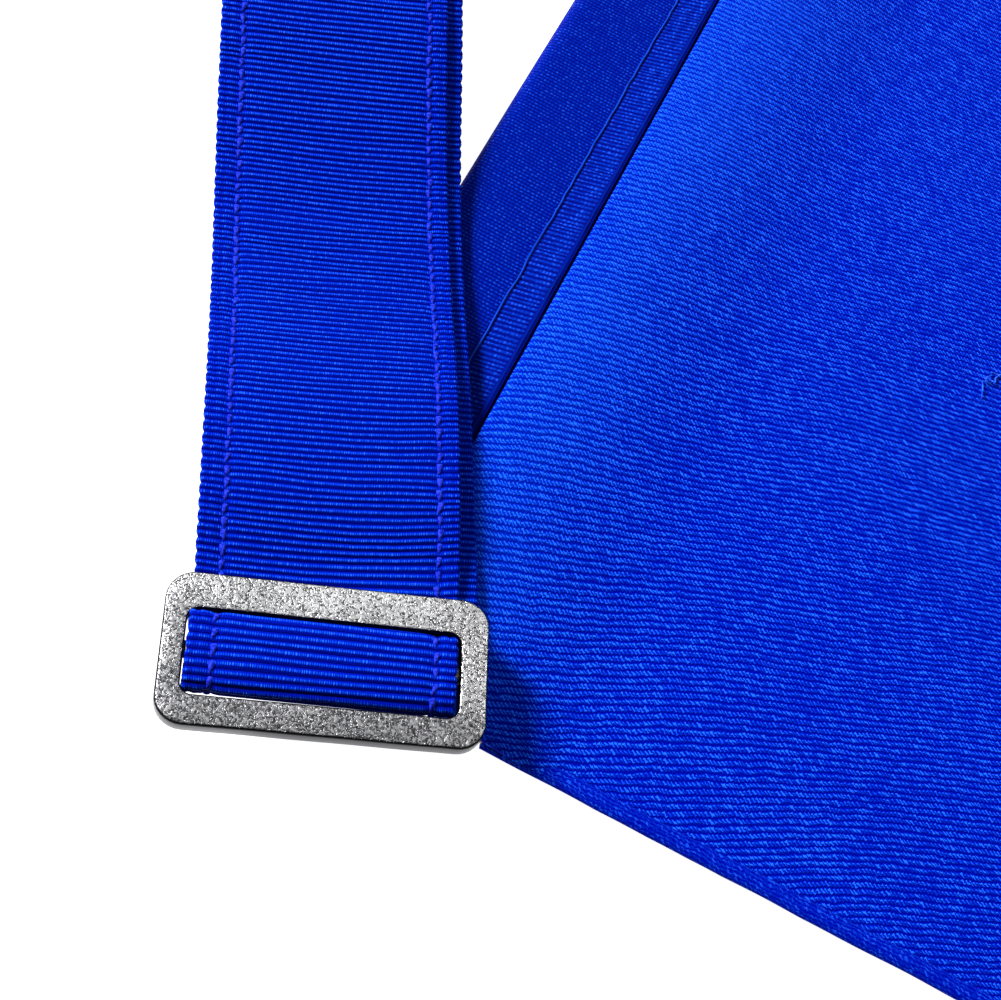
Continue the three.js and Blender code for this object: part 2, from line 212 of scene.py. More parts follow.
# %% [markdown]
# ## Light and table
# The photograph has a clean white ground and crisp ribs. So the table is a lit white board, the
# air round the object is white too, and one broad lamp from the upper left of the picture draws
# the ribs. A second, larger and weaker lamp lies on the line that a flat piece mirrors into the
# camera. It gives the twill its satin gloss near the fold.

# %% Lamps
LAMP_TARGET = Vector((0.16, 0.05, 0.0))


def lamp(name, direction, distance, size, power):
    """A square area lamp at a distance from the corner of the apron, turned to face it."""
    data = bpy.data.lights.new(name, "AREA")
    data.size = size
    data.energy = power
    made = bpy.data.objects.new(name, data)
    away = Vector(direction).normalized()
    made.location = LAMP_TARGET + away * distance
    made.rotation_mode = "QUATERNION"
    made.rotation_quaternion = away.to_track_quat("Z", "Y")
    bpy.context.scene.collection.objects.link(made)
    return made


key_lamp = lamp("key_lamp", (0.78, -0.14, 0.60), 1.2, 0.30, 36)
gloss_lamp = lamp("gloss_lamp", (-0.41, -0.48, 0.78), 1.3, 0.6, 4)

bpy.context.scene.view_settings.view_transform = "Standard"
print("lamps:", key_lamp.name, gloss_lamp.name)

# %% Table
table_mesh = bpy.data.meshes.new("table")
half, low = 3.0, -0.0002
table_corners = [(-half, -half, low), (half, -half, low), (half, half, low), (-half, half, low)]
table_mesh.from_pydata(table_corners, [], [(0, 1, 2, 3)])
table = bpy.data.objects.new("table", table_mesh)
bpy.context.scene.collection.objects.link(table)
board, _, _ = new_finish("lit_white_board", {
    "Base Color": (0.4, 0.4, 0.4, 1), "Roughness": 0.9, "Specular IOR Level": 0.1,
    "Emission Color": (1, 1, 1, 1), "Emission Strength": 1.0})
table_mesh.materials.append(board)
print("table:", board.name)

# %% [markdown]
# ## The air
# A room isn't equally bright all round. Behind the photographer it is dark, and metal shows that:
# the bevels that face the viewer are nearly black while the flat faces are light. So the air's
# light depends on direction, from white above and opposite to dark grey behind the camera.

# %% Air
world = bpy.data.worlds.new("studio_air")
world.use_nodes = True
tree = world.node_tree
seen_along = add(tree, "ShaderNodeTexCoord").outputs["Generated"]
towards_light = add(tree, "ShaderNodeVectorMath", {0: seen_along, 1: (0.25, -0.72, 0.64)},
                    operation="DOT_PRODUCT").outputs["Value"]
lightness = between(tree, towards_light, -0.25, 0.75)
air_colour = blend_colours(tree, lightness, (0.10, 0.10, 0.11, 1), (1, 1, 1, 1))
fill(tree, tree.nodes["Background"], {"Color": air_colour, "Strength": 0.34})
bpy.context.scene.world = world
print("air made:", world.name)

# %% [markdown]
# ## Woven rows
# Grosgrain and twill are both rows of thread. In grosgrain a thick hidden thread makes each rib,
# and fine threads pass over it side by side, like beads on a rod. In twill the rows are slanted
# ropes of short floats. One group makes both. It is told where a point lies along its row in
# millimetres, and how many rows have been counted, and gives a height, the gap between rows and
# a tone for each single thread.

# %% Group: woven rows
ROW_INPUTS = {"Along": 0.0, "Count": 0.0, "Bead": 0.28, "Slant": 0.0, "Wander": 0.0, "Jag": 0.0,
              "Roundness": 0.7, "Bead Depth": 0.2, "Teeth": 0.0, "Tip": 0.0}
woven_rows, given, result = new_group(
    "woven rows", [(label, "Float", value) for label, value in ROW_INPUTS.items()],
    [(label, "Float") for label in ("Height", "Gap", "Thread", "Tone")])
t = woven_rows
# rows wander a little: slow noise is added to the count
slow_place = flat_place(t, times(t, given["Along"], 0.35), times(t, given["Count"], 0.22))
drift = times(t, minus(t, noise(t, slow_place, 1.0, 2.0), 0.5), given["Wander"])
# and single threads lie a little high or low: quick noise
quick_place = flat_place(t, times(t, given["Along"], 2.4), times(t, given["Count"], 1.3))
quick = times(t, minus(t, noise(t, quick_place, 1.0, 1.0), 0.5), given["Jag"])
count = plus(t, plus(t, given["Count"], drift), quick)
# the slanted floats of a twill bite into the next row like the teeth of a saw
beads_along = maths(t, "DIVIDE", given["Along"], given["Bead"])
count = plus(t, count, times(t, maths(t, "PINGPONG", beads_along, 0.5), given["Teeth"]))
row = maths(t, "FLOOR", count)
share = maths(t, "FRACT", count)
rib = maths(t, "SINE", times(t, share, float(np.pi)))

# %% Group: woven rows, the single threads
# beads sit along the row, each row starting at its own place
start = add(t, "ShaderNodeTexWhiteNoise", {"W": row}, noise_dimensions="1D").outputs["Value"]
beads = plus(t, plus(t, beads_along, times(t, start, 7.0)), times(t, share, given["Slant"]))
wobble = noise(t, flat_place(t, times(t, beads, 0.31), row), 1.0, 0.0)
beads = plus(t, beads, times(t, wobble, 1.6))
thread = maths(t, "POWER", maths(t, "SINE", times(t, beads, float(np.pi))), 2.0)
bead_number = flat_place(t, maths(t, "FLOOR", beads), row)
tone = add(t, "ShaderNodeTexWhiteNoise", {"Vector": bead_number}, noise_dimensions="2D").outputs["Value"]
body = maths(t, "POWER", rib, given["Roundness"])
notch = times(t, one_minus(t, thread), given["Bead Depth"])
# where a float comes up it catches the light: its tip, a quarter of the way across the row
from_tip = maths(t, "ABSOLUTE", minus(t, share, 0.27))
tip = times(t, one_minus(t, between(t, from_tip, 0.0, 0.2)), given["Tip"])
t.links.new(times(t, body, one_minus(t, notch)), result["Height"])
t.links.new(one_minus(t, rib), result["Gap"])
t.links.new(times(t, thread, plus(t, tip, 1.0)), result["Thread"])
t.links.new(tone, result["Tone"])
print("group made:", woven_rows.name)

# %% [markdown]
# ## Thread colour, painted shade and painted highlight
# The thread is dyed one blue, and its light and shade are painted on. Deep between the rows a painted
# shade makes it nearly black, on their crowns a painted highlight makes it a bright clear blue, and
# each thread took the dye a little differently. A second group turns the rows into colour, with slow
# patches where the cloth has been handled.

# %% Group: thread colour, painted shade and highlight
THREAD_LIGHT_INPUTS = {"Gap": 0.0, "Thread": 1.0, "Tone": 0.5, "Gap Width": 0.6, "Painted Light": 0.0, "Shine From": 0.45,
              "Thread Contrast": 0.65, "Unevenness": 0.35, "Sparkle": 0.5}
# the gap colour is a painted shade, and the brightest colour is a painted highlight
THREAD_LIGHT_COLOURS = {"Painted Gap Shade": (0, 0, 0.1, 1), "Body": (0, 0.01, 0.3, 1), "Crown": (0, 0.04, 0.5, 1),
               "Bright": (0.01, 0.1, 0.8, 1)}
thread_colour_and_painted_light, given, result = new_group(
    "thread colour and painted light", [(label, "Float", value) for label, value in THREAD_LIGHT_INPUTS.items()]
    + [(label, "Color", value) for label, value in THREAD_LIGHT_COLOURS.items()], [("Color", "Color")])
t = thread_colour_and_painted_light
patches = noise(t, object_place(t), 38.0, 3.0)
shine = between(t, one_minus(t, given["Gap"]), given["Shine From"], 1.0)
dip = times(t, one_minus(t, given["Thread"]), given["Thread Contrast"])
lit = times(t, shine, one_minus(t, dip))
uneven = times(t, minus(t, given["Tone"], 0.5), given["Unevenness"])
sparkle = times(t, between(t, given["Tone"], 0.7, 1.0), given["Sparkle"])
lit = plus(t, lit, times(t, times(t, shine, given["Thread"]), plus(t, uneven, sparkle)))
lit = plus(t, lit, times(t, minus(t, patches, 0.5), 0.3))
# painted light: the weave's third number adds a painted highlight above 0 and a painted shade below 0
lit = plus(t, lit, times(t, given["Painted Light"], 0.4))
# painted highlight: the more lit a thread, the nearer it goes to the crown blue and then to the brightest
# blue
on_top = blend_colours(t, between(t, lit, 0.05, 0.9), given["Body"], given["Crown"])
on_top = blend_colours(t, between(t, lit, 0.65, 1.35), on_top, given["Bright"])
# painted shade: deep in the gap between rows, the colour goes to the gap colour
painted_gap_shade = between(t, given["Gap"], one_minus(t, given["Gap Width"]), 1.0)
painted_gap_shade = times(t, painted_gap_shade, one_minus(t, times(t, given["Painted Light"], 0.5)))
t.links.new(blend_colours(t, painted_gap_shade, on_top, given["Painted Gap Shade"]), result["Color"])
print("group made:", thread_colour_and_painted_light.name)

# %% [markdown]
# ## The five blue cloths
# Strap, border, tape, lining and hem are the same two groups with other numbers: how far apart
# the threads are, how round the rows, how deep and how bright. Each material reads the attribute
# called weave. Its three numbers are the millimetres along the row, the rows counted, and the
# painted light of the place: above 0 a painted highlight, below 0 a painted shade. Real dye this
# blue returns almost no red, so the gloss is tinted blue as well.

# %% Cloth materials


def cloth(name, rows, colour_and_light, bump, roughness=0.55):
    """A cloth finish: the rows group, the group of thread colour with painted shade and highlight, a bump of
    so many millimetres and a blue gloss.
    """
    material, tree, finish = new_finish(name, {
        "Roughness": roughness, "IOR": 1.09, "Specular Tint": (0.04, 0.30, 1.0, 1),
        "Sheen Weight": 0.02, "Sheen Roughness": 0.4, "Sheen Tint": (0.05, 0.25, 1.0, 1)})
    numbers = weave_numbers(tree)
    woven = place(tree, woven_rows, {"Along": numbers["X"], "Count": numbers["Y"], **rows})
    thread_colour = place(tree, thread_colour_and_painted_light, {"Gap": woven["Gap"], "Thread": woven["Thread"],
                                     "Tone": woven["Tone"], "Painted Light": numbers["Z"], **colour_and_light})
    fill(tree, finish, {"Base Color": thread_colour["Color"], "Normal": bumped(tree, woven["Height"], bump)})
    return material


strap_cloth = cloth(
    "grosgrain_strap", {"Bead": 0.28, "Roundness": 0.8, "Bead Depth": 0.6, "Jag": 0.12},
    {"Gap Width": 0.62, "Shine From": 0.72, "Thread Contrast": 0.75, "Unevenness": 0.6, "Sparkle": 0.5,
     "Painted Gap Shade": (0.0, 0.0003, 0.09, 1), "Body": (0.0, 0.005, 0.30, 1), "Crown": (0.001, 0.045, 0.60, 1),
     "Bright": (0.014, 0.105, 0.85, 1)}, bump=0.10)
border_cloth = cloth(
    "fine_ribbed_border", {"Bead": 0.62, "Roundness": 0.8, "Bead Depth": 0.6, "Wander": 0.35, "Jag": 0.25},
    {"Gap Width": 0.75, "Shine From": 0.5, "Thread Contrast": 0.65, "Unevenness": 0.9, "Sparkle": 0.35,
     "Painted Gap Shade": (0.0, 0.0008, 0.11, 1), "Body": (0.0, 0.0045, 0.19, 1), "Crown": (0.0003, 0.015, 0.28, 1),
     "Bright": (0.004, 0.040, 0.38, 1)}, bump=0.09)
tape_cloth = cloth(
    "ribbed_tape", {"Bead": 0.6, "Roundness": 0.8, "Bead Depth": 0.5, "Jag": 0.4},
    {"Gap Width": 0.85, "Shine From": 0.6, "Thread Contrast": 0.45, "Unevenness": 1.0, "Sparkle": 0.3,
     "Painted Gap Shade": (0.0, 0.0006, 0.10, 1), "Body": (0.0, 0.004, 0.16, 1), "Crown": (0.0006, 0.020, 0.29, 1),
     "Bright": (0.006, 0.046, 0.42, 1)}, bump=0.07)
lining_cloth = cloth(
    "blue_twill", {"Bead": 0.52, "Slant": 1.7, "Roundness": 0.9, "Bead Depth": 0.7, "Wander": 0.8,
                   "Jag": 0.45, "Teeth": 0.35, "Tip": 0.9},
    {"Gap Width": 0.85, "Shine From": 0.3, "Thread Contrast": 1.0, "Unevenness": 0.8, "Sparkle": 0.7,
     "Painted Gap Shade": (0.0, 0.0010, 0.23, 1), "Body": (0.0, 0.0035, 0.30, 1), "Crown": (0.0006, 0.036, 0.57, 1),
     "Bright": (0.010, 0.105, 0.88, 1)}, bump=0.14, roughness=0.5)
hem_cloth = cloth(
    "hem_twill", {"Bead": 0.7, "Slant": 1.2, "Roundness": 0.6, "Bead Depth": 0.4, "Wander": 2.2,
                  "Jag": 1.2, "Tip": 0.8},
    {"Gap Width": 0.8, "Shine From": 0.3, "Thread Contrast": 0.7, "Unevenness": 0.9, "Sparkle": 0.5,
     "Painted Gap Shade": (0.0, 0.0010, 0.24, 1), "Body": (0.0, 0.004, 0.29, 1), "Crown": (0.0006, 0.016, 0.37, 1),
     "Bright": (0.006, 0.055, 0.55, 1)}, bump=0.04)
print("cloths:", ", ".join(m.name for m in (strap_cloth, border_cloth, tape_cloth, lining_cloth, hem_cloth)))

# %% [markdown]
# ## From arrays to meshes
# A strap, a ribbon or a roll of cloth is a cross-section carried along a path. As an array it has
# a row for each place along the path and a column for each point of the closed section. Quads
# join neighbouring rows, and a ladder of quads closes each end. The sign of the enclosed volume
# tells whether the faces point outwards, and if they don't, every face is turned round.

# %% Mesh helpers


def make_mesh(name, points, quads, weave, material):
    """Points in millimetres and quads become an object. The weave attribute on its points has the
    millimetres along a row, the rows counted and, where it is given, the painted light of the place:
    a painted highlight above 0 and a painted shade below."""
    a, b, c, d = (points[quads[:, k]] for k in range(4))
    volume = np.sum(a * np.cross(b, c)) + np.sum(a * np.cross(c, d))
    if volume < 0:
        quads = quads[:, ::-1]
    mesh = bpy.data.meshes.new(name)
    mesh.vertices.add(len(points))
    mesh.vertices.foreach_set("co", (points * MM).astype(np.float32).ravel())
    mesh.loops.add(quads.size)
    mesh.loops.foreach_set("vertex_index", np.ascontiguousarray(quads, np.int32).ravel())
    mesh.polygons.add(len(quads))
    mesh.polygons.foreach_set("loop_start", np.arange(0, quads.size, 4, dtype=np.int32))
    mesh.update(calc_edges=True)
    mesh.polygons.foreach_set("use_smooth", np.ones(len(quads), bool))
    data = np.zeros((len(points), 3), np.float32)
    data[:, :weave.shape[1]] = weave
    mesh.attributes.new("weave", "FLOAT_VECTOR", "POINT").data.foreach_set("vector", data.ravel())
    mesh.validate()
    mesh.materials.append(material)
    made = bpy.data.objects.new(name, mesh)
    bpy.context.scene.collection.objects.link(made)
    print(f"{name}: {2 * len(quads)} triangles")
    return made


# %% Quads of a loft


def tube_quads(rows, columns, closed_path=False):
    """The quads between neighbouring sections, and a ladder across each end of an open path."""
    index = np.arange(rows * columns).reshape(rows, columns)
    across = np.roll(index, -1, axis=1)
    if closed_path:
        ahead, ahead_across = np.roll(index, -1, axis=0), np.roll(across, -1, axis=0)
        return np.stack([index, across, ahead_across, ahead], -1).reshape(-1, 4)
    sides = np.stack([index[:-1], across[:-1], across[1:], index[1:]], -1).reshape(-1, 4)
    ends = []
    for ring, first in ((index[0], True), (index[-1], False)):
        near, far = ring[:columns // 2], ring[::-1][:columns // 2]
        ladder = np.stack([near[:-1], near[1:], far[1:], far[:-1]], -1)
        ends.append(ladder[:, ::-1] if first else ladder)
    return np.concatenate([sides, *ends])


def loft(name, rings, weave, material):
    """Sections (rows, columns, 3) along an open path, closed at both ends."""
    rows, columns = rings.shape[:2]
    flat_weave = weave.reshape(rows * columns, -1)
    return make_mesh(name, rings.reshape(-1, 3), tube_quads(rows, columns), flat_weave, material)


# %% Sections


def signed_power(values, power):
    """The size raised to a power, with its sign kept. On a sine and cosine it squares the circle."""
    return np.sign(values) * np.abs(values) ** power


def flat_section(upper, lower, roll=(78, 40)):
    """A flattened loop for a band of cloth: for each column, the place across the flat, how much of
    the edge roll is added, and the height as a share of half the thickness. A point of the roll at
    an angle from the upright stands its sine outwards and its cosine up."""
    angle = np.radians(roll)
    ends = np.ones(len(angle))

    def face(flat, sign):
        flat = np.asarray(flat, float)
        return (np.r_[flat[0] * ends, flat, flat[-1] * ends],
                np.r_[-np.sin(angle), 0 * flat, np.sin(angle[::-1])],
                sign * np.r_[np.cos(angle), np.ones(len(flat)), np.cos(angle[::-1])])

    top, under = face(upper, 1), face(lower, -1)
    return [np.r_[a, b[::-1]] for a, b in zip(top, under)]


# %% [markdown]
# ## The route of the strap
# The strap leaves the corner under the slider, runs down over the ribbon border, rises in a soft
# arch and lies down on the table. It turns round the hook's bar, comes back on top of itself,
# and its end goes up through the slider and round the slider's middle bar. The same chosen
# heights as in the CAD are used, with half-cosine slopes between them.

# %% Strap route
SLIDER_SKEW = np.radians(-3.5)
WRAP_SKEW = np.radians(-3.9)
SLIDER_HEIGHT = 11.9
DOUBLED_REACH, PLAIN_REACH = 250.0, 200.0
# along and height, where each height was chosen
DOUBLED_WAVES = [(0, 8.6), (32.3, 8.6), (64.95, 5.6), (108.5, 11.5), (158.57, 0.5), (DOUBLED_REACH, 0.5)]
PLAIN_WAVES = [(0, 8.6), (26.44, 8.6), (69.9, 4.6), (109.9, 0.5), (PLAIN_REACH, 0.5)]


def wave_height(waves, along):
    """The height between two listed places eases from one to the other."""
    place_along, heights = np.array(waves, float).T
    after = np.clip(np.searchsorted(place_along, along), 1, len(place_along) - 1)
    share_between = (along - place_along[after - 1]) / (place_along[after] - place_along[after - 1])
    return mix(heights[after - 1], heights[after], ease(share_between))


# %% Stretches of a route


def stretch(along, across, height, turn=0.0, width=STRAP_WIDTH):
    """A stretch of a strap's middle line, in five columns. What stays the same is repeated."""
    return np.stack(np.broadcast_arrays(along, across, height, turn, width), -1)


def far_turn(reach, sideways):
    """The half turn round the far bar: two quarter circles of 0.8 mm with a straight bit between."""
    angle = np.radians(np.r_[np.linspace(-90, 0, 12), np.linspace(0, 90, 12)])
    centre = np.r_[np.full(12, 1.3), np.full(12, 3.3)]
    return stretch(reach + 1.5 + 0.8 * np.cos(angle), sideways, centre + 0.8 * np.sin(angle))


# %% The two routes


def doubled_route():
    """The doubled strap's middle line: out underneath, round the hook's bar, back on top with a
    soft bow, and round the slider's bar. The wrap is a circle squared by a power, flatter outside."""
    low_run = np.linspace(4, DOUBLED_REACH - 0.5, 400)
    shift = -0.5 - 2.5 * (1 - ease((low_run / DOUBLED_REACH - 0.6) / 0.3))
    lower = stretch(low_run, shift, wave_height(DOUBLED_WAVES, low_run))
    run = np.linspace(DOUBLED_REACH - 0.5, 4.9, 500)
    near = 1 - ease((run - 4.9) / 9)
    apart = 1 + mix(0.3, 0.6, ease((run - 10) / 16))
    puff = 1.6 * ease((run - 9) / 14) * (1 - ease((run - 26) / 30))
    lift = (3.6 - apart) * ease((run - 210) / 40)
    bow = -0.45 * np.exp(-((run - 56) / 26) ** 2)
    upper = stretch(run, bow + mix(-0.5, 0.33, near) + run * np.sin(WRAP_SKEW * near),
                    wave_height(DOUBLED_WAVES, run) + apart + puff + lift,
                    WRAP_SKEW * near, STRAP_WIDTH - 0.5 * near)
    angle = np.radians(np.linspace(-22, 282, 160))
    far_side = np.cos(angle) > 0
    power = np.where(far_side, 0.55, 0.8)
    reach = signed_power(np.cos(angle), power) * np.where(far_side, 4.35, 4.75)
    rise = signed_power(np.sin(angle), power) * 1.62
    wrap = stretch(reach * np.cos(WRAP_SKEW), 0.45 + reach * np.sin(WRAP_SKEW),
                   SLIDER_HEIGHT + rise, WRAP_SKEW, STRAP_WIDTH - 0.5)
    return np.concatenate([lower, far_turn(DOUBLED_REACH, -0.5), upper, wrap])


def short_route():
    """The plain strap: seated on its corner, down to the table, round the ring and back on itself."""
    run = np.linspace(4, PLAIN_REACH - 0.5, 320)
    lower = stretch(run, 0.0, wave_height(PLAIN_WAVES, run))
    back = np.linspace(PLAIN_REACH - 0.5, PLAIN_REACH - 30, 60)
    apart = mix(3.6, 1.3, ease((PLAIN_REACH - back) / 18))
    tail = stretch(back, 0.0, 0.5 + apart)
    return np.concatenate([lower, far_turn(PLAIN_REACH, 0.0), tail])


# %% From a strap's own directions to the apron's


def to_world(points, corner, heading):
    """From a strap's own along, across and up to the apron's millimetres."""
    along = np.array([np.cos(heading), np.sin(heading), 0])
    across = np.array([-np.sin(heading), np.cos(heading), 0])
    up = np.array([0, 0, 1])
    return corner + points[..., :1] * along + points[..., 1:2] * across + points[..., 2:] * up


RIGHT_CORNER = np.array([185.4, 81.6, 0])
LEFT_CORNER = np.array([-185.4, 81.6, 0])
RIGHT_HEADING = np.radians(27.1 - 90)
LEFT_HEADING = np.radians(-27.1 - 90)


def even_steps(route, step=0.1, softness=1.0):
    """The route at even steps of its own length, its corners softened by a running mean."""
    length = np.r_[0, np.cumsum(np.linalg.norm(np.diff(route[:, :3], axis=0), axis=1))]
    places = np.linspace(0, length[-1], int(length[-1] / step))
    even = np.stack([np.interp(places, length, column) for column in route.T], -1)
    window = 2 * int(softness / step / 2) + 1
    padded = np.pad(even, ((window // 2, window // 2), (0, 0)), mode="edge")
    kernel = np.ones(window) / window
    soft = np.stack([np.convolve(column, kernel, "valid") for column in padded.T], -1)
    return places, soft


print(f"doubled strap: {even_steps(doubled_route())[0][-1]:.0f} mm of ribbon")

# %% [markdown]
# ## A ribbed strap
# The ribs are coarse enough to shape the strap's outline and its shading, so they are real
# geometry: five rows of points to a rib. Each point's height above the middle of the ribbon is
# the sine of its place in the rib. The rows follow the ribs, so where the ribs sag towards the
# slider the mesh sags with them. Every other rib ends in a small loop of thread, which makes the
# scalloped edge, and the two rows of stitches press shallow channels into the cloth.

# %% Ribbed strap
RIB_PITCH = 0.87
RIB_SAMPLES = 5
OUTER_COLUMNS = np.array([-15.45, -14.95, -14.5, -13.95, -13.25, -12.55, -11.9, -8, -2.7, 2.7, 8, 11.4,
                          12.1, 12.8, 13.5, 14.4, 14.95, 15.45])
INNER_COLUMNS = np.array([-15.45, -6, 6, 15.45])
STITCH_PLACES = (12.8, -13.25)


def strap_frame(places, route, s):
    """Centre, direction along, direction across and upright at any length s of the strap. The
    upright is the cross product of the other two."""
    centre = np.stack([np.interp(s, places, route[:, k]) for k in range(3)], -1)
    slopes = np.gradient(route[:, :3], places, axis=0)
    ahead = np.stack([np.interp(s, places, column) for column in slopes.T], -1)
    ahead /= np.linalg.norm(ahead, axis=-1, keepdims=True)
    turned = np.interp(s, places, route[:, 3])
    across = np.stack([-np.sin(turned), np.cos(turned), 0 * turned], -1)
    upright = np.cross(ahead, across)
    upright /= np.linalg.norm(upright, axis=-1, keepdims=True)
    return centre, ahead, across, upright


# %% Chance in the ribs


def rib_starts(length, pulled_from):
    """Where each rib starts: an even pitch with a few hundredths of a millimetre of chance. From a
    given length on, the ribbon is pulled round a bar, and its ribs stand 15 % farther apart."""
    count = int(length / RIB_PITCH)
    widths = 1 + 0.045 * rng.standard_normal(count)
    widths *= 1 + 0.15 * ease((np.arange(count) * RIB_PITCH - pulled_from) / 4)
    return np.r_[0, np.cumsum(widths)] / widths.sum() * length


def rib_wander(ribs, x):
    """Slow waves across each rib: four cosines, whose sizes change smoothly from rib to rib."""
    size = rng.standard_normal((ribs, 4)) * np.array([0.10, 0.07, 0.05, 0.04])
    kernel = np.hanning(9)[1:-1]
    size = np.stack([np.convolve(column, kernel / kernel.sum() * 1.9, "same") for column in size.T], -1)
    waves = np.cos(np.pi * np.outer(x + STRAP_WIDTH / 2, np.arange(1, 5)) / STRAP_WIDTH)
    return size @ waves.T


# %% A strap from its ribs


def ribbed_strap(name, route, corner, heading, sag, pulled_from):
    """A strap along a route. The outer face stands 0.23 mm out, and 0.25 mm times the rib's sine
    more, less the channels of the stitches and a groove at each selvedge. sag gives how far each
    rib's middle lies towards the end, by the length up to it."""
    places, route = even_steps(route)
    starts = rib_starts(places[-1] - 0.6, pulled_from) + 0.3
    ribs = len(starts) - 1
    step = np.arange(RIB_SAMPLES) / RIB_SAMPLES
    s = (starts[:-1, None] + step * np.diff(starts)[:, None]).ravel()
    phase = (np.arange(ribs)[:, None] + step).ravel()
    flat, roll, lift = flat_section(INNER_COLUMNS, OUTER_COLUMNS, roll=(75, 35))
    wander = np.repeat(rib_wander(ribs, flat), RIB_SAMPLES, axis=0)
    ends = np.clip(np.minimum(s, s[-1] - s) / 3, 0, 1)[:, None]
    shifted = s[:, None] + ends * (wander + sag(s)[:, None] * (1 - (2 * flat / STRAP_WIDTH) ** 2))
    centre, ahead, across, upright = strap_frame(places, route, np.clip(shifted, 0, places[-1]))
    width = np.interp(shifted, places, route[:, 4]) / STRAP_WIDTH
    swell = 1 + 0.14 * np.repeat(rng.standard_normal(ribs), RIB_SAMPLES)[:, None]
    sine = np.abs(np.sin(np.pi * phase))[:, None]
    crown = np.clip(swell * sine ** 0.75, 0, 1.08)
    channel = sum(np.exp(-((flat - x) / 0.6) ** 2) for x in STITCH_PLACES)
    groove = np.exp(-((np.abs(flat) - 14.95) / 0.2) ** 2)
    outer = 0.23 + 0.25 * crown * (1 - 0.95 * channel) * (1 - 0.6 * groove) - 0.10 * channel
    inner = 0.26 + 0.14 * crown
    height = np.where(lift < 0, -outer, inner) * np.abs(lift)
    scallop = 0.09 * np.cos(np.pi * phase)[:, None] + 0.08 * (crown - 0.6)
    sideways = flat * width + roll * (0.42 + scallop)
    points = centre + across * sideways[..., None] + upright * height[..., None]
    # painted shade: the outer face is darker in the stitch channels and in the groove at each selvedge
    painted_light = np.where(lift < 0, -0.9 * channel - 0.7 * groove, 0) + 0 * crown
    weave = np.stack([sideways, np.repeat(phase[:, None], len(flat), 1), painted_light], -1)
    strap = loft(name, to_world(points, corner, heading), weave, strap_cloth)
    return strap, places, route, s


# %% The two straps


def doubled_sag(s):
    """The upper layer's ribs sag towards the slider: 0.25 mm, and up to 1.1 mm more where the strap
    is pulled round the middle bar. The lower layer and the wrap itself have none."""
    before_wrap = np.clip(502 - s, 0, 300)
    return (0.25 + 1.1 * np.exp(-before_wrap / 16)) * ease(before_wrap / 5) * ease((s - 262) / 10)


belt, belt_places, belt_path, belt_ribs = ribbed_strap(
    "doubled_strap", doubled_route(), RIGHT_CORNER, RIGHT_HEADING, doubled_sag, pulled_from=498)
short_belt, short_places, short_path, short_ribs = ribbed_strap(
    "plain_strap", short_route(), LEFT_CORNER, LEFT_HEADING, lambda s: 0 * s, pulled_from=1000)

# %% [markdown]
# ## The stitches
# Both straps are edged with a row of lock stitches in a thread that is a shade more violet. Each
# stitch spans two ribs. It is fat where it comes up and thin where it dives back, like a drop.
# One drop is modelled as a short tube of six-sided rings, and numpy sets a copy on every second
# rib, so the whole seam is a single mesh.

# %% Stitch thread


def thread_finish(name, dark, light):
    """Twisted thread: fine noise for its plies, in colour and in bump."""
    material, tree, finish = new_finish(name, {
        "Roughness": 0.5, "IOR": 1.12, "Specular Tint": (0.1, 0.25, 1.0, 1)})
    ply = noise(tree, object_place(tree), 3600.0)
    colour = blend_colours(tree, between(tree, ply, 0.3, 0.7), dark, light)
    fill(tree, finish, {"Base Color": colour, "Normal": bumped(tree, ply, 0.08)})
    return material


stitch_thread = thread_finish("violet_blue_thread", (0.002, 0.006, 0.24, 1), (0.020, 0.042, 0.62, 1))
loose_thread = thread_finish("lining_thread", (0.002, 0.03, 0.45, 1), (0.03, 0.15, 0.90, 1))


# %% Stitch shape


def stitch_shape():
    """A wedge along x from -1 to 1, wide at its start and drawn to a point: the half-widths and
    half-heights are listed, and a spine dips at both ends. Rings of six points."""
    x = np.array([-0.97, -0.78, -0.35, 0.3, 0.97])
    wide = np.array([0.20, 0.44, 0.40, 0.24, 0.08])
    tall = np.array([0.08, 0.22, 0.26, 0.20, 0.06])
    angle = np.radians(np.arange(0, 360, 60) + 30)
    spine = 0.24 - 0.20 * x ** 2
    return np.stack([np.repeat(0.86 * x[:, None], 6, 1), wide[:, None] * np.cos(angle),
                     spine[:, None] + tall[:, None] * np.sin(angle)], -1)


# %% Stitch rows


